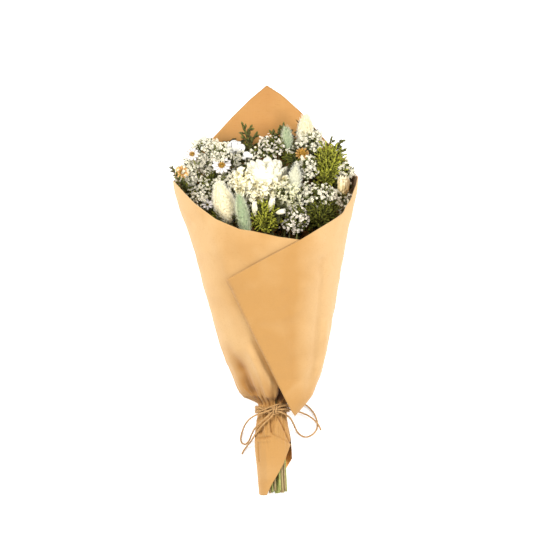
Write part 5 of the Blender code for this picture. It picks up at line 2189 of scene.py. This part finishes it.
# finishes by the settings that they share: colour in the hollows, of the lightest pieces and at the tips
FINISHES = (
    ({"tip_from": 0.6}, {
        "stem_olive": ((0.15, 0.16, 0.035), (0.36, 0.38, 0.12), (0.20, 0.20, 0.06)),
        "stem_pale": ((0.42, 0.40, 0.17), (0.68, 0.66, 0.36), (0.50, 0.50, 0.22)),
        "stem_brown": ((0.17, 0.11, 0.045), (0.40, 0.31, 0.15), (0.28, 0.24, 0.10))}),
    ({}, {
        "twig_green": ((0.10, 0.12, 0.03), (0.22, 0.25, 0.08), (0.24, 0.26, 0.10)),
        "twig_brown": ((0.06, 0.035, 0.015), (0.14, 0.09, 0.04), (0.14, 0.12, 0.04))}),
    # near-black leaves: painted shade under the heads and behind the daisies' petals
    ({"grain": 3 * MM}, {
        "under_leaf": ((0.004, 0.005, 0.001), (0.050, 0.048, 0.008), (0.065, 0.065, 0.010))}),
    ({"tip_from": 0.2, "grain": 1.5 * MM, "roughness": 0.9, "bump": 0.02 * MM, "sheen": 0.3}, {
        "cream_bristle": ((0.90, 0.80, 0.51), (0.97, 0.90, 0.66), (1.0, 0.96, 0.78)),
        "pale_bristle": ((0.70, 0.69, 0.50), (0.82, 0.81, 0.64), (0.92, 0.91, 0.78))}),
    ({"tip_from": 0.3, "grain": 1.5 * MM, "roughness": 0.9, "bump": 0.02 * MM, "sheen": 0.3}, {
        "mint_bristle": ((0.22, 0.34, 0.17), (0.63, 0.68, 0.40), (0.98, 0.97, 0.70))}),
    # florets: the dark colours and tip shades darken the florets that lie further in: painted shade
    ({"tip_from": 0.3, "grain": 1.5 * MM, "roughness": 0.8, "tip_shade": 0.50}, {
        "white_floret": ((0.30, 0.20, 0.03), (0.58, 0.46, 0.12), (1.0, 0.95, 0.77)),
        "pink_floret": ((0.28, 0.17, 0.04), (0.52, 0.37, 0.14), (1.0, 0.92, 0.78))}),
    ({"tip_from": 0.3, "grain": 1.5 * MM, "roughness": 0.8, "tip_shade": 0.60}, {
        "cream_floret": ((0.40, 0.32, 0.05), (0.66, 0.60, 0.16), (1.0, 0.96, 0.66))}),
    ({"tip_from": 0.4, "grain": 1.5 * MM, "roughness": 0.8}, {
        "green_bud": ((0.14, 0.15, 0.03), (0.42, 0.42, 0.16), (0.62, 0.60, 0.34))}),
    # evergreen scales: the near-black dark colours and low tip shades darken scales inside the sprigs:
    # painted shade
    ({"tip_from": 0.35, "grain": 1.5 * MM, "roughness": 0.6, "tip_shade": 0.10}, {
        "cypress_bright": ((0.006, 0.010, 0.001), (0.17, 0.19, 0.012), (0.70, 0.68, 0.070))}),
    ({"tip_from": 0.4, "grain": 1.5 * MM, "roughness": 0.6, "tip_shade": 0.08}, {
        "cypress_dark": ((0.005, 0.008, 0.001), (0.052, 0.060, 0.004), (0.27, 0.27, 0.022))}),
    ({"tip_from": 0.4, "grain": 1.5 * MM, "roughness": 0.6, "tip_shade": 0.25}, {
        "cypress_olive": ((0.012, 0.013, 0.002), (0.065, 0.068, 0.008), (0.17, 0.17, 0.025))}),
    ({"tip_from": 0.6, "bump": 0.08 * MM}, {
        "white_ray": ((0.66, 0.60, 0.56), (0.76, 0.73, 0.70), (0.80, 0.77, 0.75)),
        "brown_ray": ((0.15, 0.07, 0.015), (0.42, 0.23, 0.06), (0.56, 0.34, 0.12)),
        "tan_ray": ((0.42, 0.19, 0.05), (0.76, 0.46, 0.17), (0.80, 0.55, 0.24))}),
    ({"tip_from": 0.4, "grain": 1 * MM, "roughness": 0.8}, {
        "daisy_heart": ((0.16, 0.06, 0.008), (0.56, 0.29, 0.035), (0.72, 0.40, 0.06)),
        "dark_heart": ((0.035, 0.025, 0.008), (0.15, 0.13, 0.025), (0.22, 0.18, 0.03))}),
    # bloom petals creamier and yellower towards their foot: partly their own tone, partly painted shade
    # between the petals
    ({"tip_from": 0.30, "grain": 5 * MM, "roughness": 0.65, "bump": 0.10 * MM, "tip_shade": 0.84}, {
        "bloom_petal": ((0.62, 0.52, 0.22), (0.78, 0.72, 0.46), (0.80, 0.77, 0.62))}),
    ({"tip_from": 0.2, "grain": 3 * MM, "roughness": 0.7, "bump": 0.08 * MM, "sheen": 0.2}, {
        "bloom_frill": ((0.88, 0.75, 0.36), (0.96, 0.90, 0.60), (1.0, 0.96, 0.76))}),
    ({"tip_from": 0.2, "roughness": 0.7}, {
        "bloom_floret": ((0.70, 0.58, 0.12), (0.90, 0.82, 0.38), (0.99, 0.96, 0.80))}),
    ({"tip_from": 0.4, "grain": 3 * MM, "roughness": 0.7}, {
        "puff_petal": ((0.70, 0.68, 0.63), (0.82, 0.81, 0.78), (0.86, 0.85, 0.83))}),
    ({"tip_from": 0.4, "roughness": 0.7}, {
        "bud_scale": ((0.60, 0.56, 0.34), (0.82, 0.78, 0.60), (0.88, 0.85, 0.72))}),
    ({"roughness": 0.7}, {
        "husk_scale": ((0.44, 0.33, 0.13), (0.82, 0.68, 0.40), (0.94, 0.86, 0.62))}),
    ({"tip_from": 0.3, "grain": 1.2 * MM, "roughness": 0.85, "bump": 0.12 * MM}, {
        "jute": ((0.26, 0.135, 0.050), (0.54, 0.33, 0.135), (0.66, 0.45, 0.21))}),
    ({"grain": 1.2 * MM, "roughness": 0.7}, {
        "raffia": ((0.44, 0.30, 0.13), (0.70, 0.55, 0.30), (0.72, 0.58, 0.34))}),
)
# the warmer orange, the fold colour and the darkest colour of each face are painted shade
OUTSIDE = PaperFinish("kraft_outside", pale=(0.452, 0.282, 0.120), warm=(0.352, 0.182, 0.047),
                      fibre=(0.30, 0.165, 0.055), deep=(0.28, 0.125, 0.022))
# the inside face: a darker, more orange kraft, partly its own colour and partly painted shade for light
# bounced inside the cone; its bright orange is painted light
INSIDE = PaperFinish("kraft_inside", pale=(0.388, 0.199, 0.054), warm=(0.34, 0.16, 0.040),
                     fibre=(0.26, 0.12, 0.032), deep=(0.26, 0.10, 0.020), lit=(0.86, 0.40, 0.10))
EDGE = PaperFinish("kraft_edge", pale=(0.52, 0.36, 0.20), warm=(0.50, 0.33, 0.17),
                   fibre=(0.36, 0.23, 0.10), deep=(0.28, 0.15, 0.05))


def plant_materials() -> dict[str, Material]:
    """The material of every finish, by name."""
    return {name: plant_material(Finish(name, *colours, **shared))
            for shared, group in FINISHES for name, colours in group.items()}


def planting(kit: Kit) -> list[Plant]:
    """Every cut stem of the bouquet, from the frame's node names.

    Args:
        kit: shared shapes, trees and materials.

    Returns:
        The plants, in the order in which they are made.
    """
    def spray(number: int, clusters: int, **more: Any) -> Spray:
        """Filler flowers."""
        return Spray(kit, f"spray_{number}", seed=number, clusters=clusters, **more)

    def cypress(number: int, sprigs: int, **more: Any) -> Cypress:
        """Branching evergreen sprigs."""
        return Cypress(kit, f"cypress_{number}", brown, 20 + number, sprigs=sprigs, **more)

    def tall(number: int, *tips: tuple[float, float]) -> Sprig:
        """A single tall evergreen sprig."""
        return Sprig(kit, f"cypress_{number}", brown, 20 + number, tips=tips)

    pale, brown, dark = "stem_pale", "stem_brown", "cypress_dark"
    mint = {"slot": "mint_grass", "look": "mint_bristle"}
    pink = {"floret_look": "pink_floret"}
    return [
        Bloom(kit, "bloom_centre", seed=60),
        BunnyTail(kit, "bunny_tail_cream_1", pale, 61, count=4600, girth=1.16, offset=(-2.6, -5.5, 5.0)),
        BunnyTail(kit, "bunny_tail_cream_2", pale, 62, count=2600),
        BunnyTail(kit, "bunny_tail_cream_3", pale, 63, look="pale_bristle", count=1700,
                  offset=(0.3, -5.5, 2.5)),
        BunnyTail(kit, "bunny_tail_mint_1", seed=64, count=2600, girth=0.72, **mint),
        BunnyTail(kit, "bunny_tail_mint_2", seed=65, count=1300, girth=0.8, offset=(0.5, -3.0, 0.0),
                  beside=((6, -16, -5), 8, 6, 9), **mint),
        Bud(kit, "seed_head", brown, 66, look="husk_scale", rows=8, per_row=8, scale=0.7, fullness=1.0,
            beside=((-3, -14, -4), 13, 13, 10)),
        Daisy(kit, "daisy_1", seed=67, petals=12, beside=((-1, 13, -5), 9, 9, 2)),
        Daisy(kit, "daisy_2", seed=68, petals=11),
        Daisy(kit, "daisy_3", brown, 69, petals=11, look="tan_ray", slot="tan_petals",
              beside=((3, -10, -2), 7, 5, 0)),
        Daisy(kit, "daisy_4", brown, 70, petals=12, look="brown_ray", slot="tan_petals", heart_share=0.6,
              beside=((-14, -8, -8), 9, 1, 12)),
        Daisy(kit, "daisy_5", seed=71, petals=8, heart="dark_heart", heart_share=0.26,
              beside=((-5, 6, -5), 8, 5, 0)),
        Puff(kit, "puff_1", seed=72, beside=((6, -13, -4), 12, 15, 4)),
        Puff(kit, "puff_2", seed=73, petals=44, offset=(-2.2, 0.0, 0.0), squash=(0.80, 0.9, 0.9),
             beside=((9, 4, -4), 7, 4, 3)),
        Bud(kit, "bud_1", seed=74), Bud(kit, "bud_2", pale, 75), Bud(kit, "bud_3", seed=76),
        spray(1, 54, offset=(-1, -2.5, 0), squash=(1.0, 0.9, 1.0)),
        spray(2, 26),
        spray(3, 26, greens=6, offset=(0, -5, 0), squash=(1.0, 0.76, 1.0), beside=((7, 12, -8), 9, 1, 14)),
        spray(4, 13, greens=12, offset=(4, 4, 0), squash=(0.85, 0.50, 1.0), **pink),
        spray(5, 32, greens=6, offset=(-3, 2, 3)),
        spray(6, 14, greens=8, offset=(0, 5, 0), squash=(1.0, 0.6, 1.0)),
        spray(7, 32, greens=8, offset=(0, -3, 0), squash=(1.0, 0.85, 1.0)),
        spray(8, 14, greens=14, offset=(-4, 4, 1), squash=(0.72, 0.8, 1.0), **pink),
        spray(9, 10, greens=6),
        spray(10, 26, floret_look="cream_floret", greens=5, offset=(-3, 1, 2)),
        spray(11, 26),
        tall(1, (5.3, -18), (-8, 14.2), (0.4, 11.9), (6.3, 4.6), (-8, 3.1), (-5, -6.5)),
        tall(2, (-4.3, -18), (4.3, 7.8), (-8.4, -0.3), (-0.5, 2.5), (-6.0, -7.0)),
        cypress(3, 28), cypress(4, 30, look=dark, offset=(-2, 0, 0)), cypress(5, 30, offset=(0, 3, 2)),
        tall(6, (-6, -20), (-4, 4), (8, 1), (2, -3), (9, -9)),
        cypress(7, 18, look=dark), cypress(8, 16, look=dark),
        LeafSprig(kit, "leaf_left", brown, 29),
    ]


def main() -> None:
    """Build the picture: studio and twine first, then the paper, then every stem."""
    logging.basicConfig(level=logging.INFO, format="%(message)s")
    Studio().build()
    shapes = {shape: shape.make() for shape in Shape}
    looks = plant_materials()
    Twine(twisted_cord_tree(), shapes[Shape.FIBRE], looks["jute"]).build()
    wrap = Wrap(*map(paper_material, (OUTSIDE, INSIDE, EDGE))).build()
    finish_piece(wrap, "kraft_paper", "wrap")
    StemBand(looks["raffia"]).build()
    kit = Kit(shapes, copies_tree(), bristle_tree(), twig_tree(), looks)
    for plant in planting(kit):
        plant.build()
    for shape in shapes.values():
        bpy.data.objects.remove(shape)


if __name__ == "__main__":
    main()
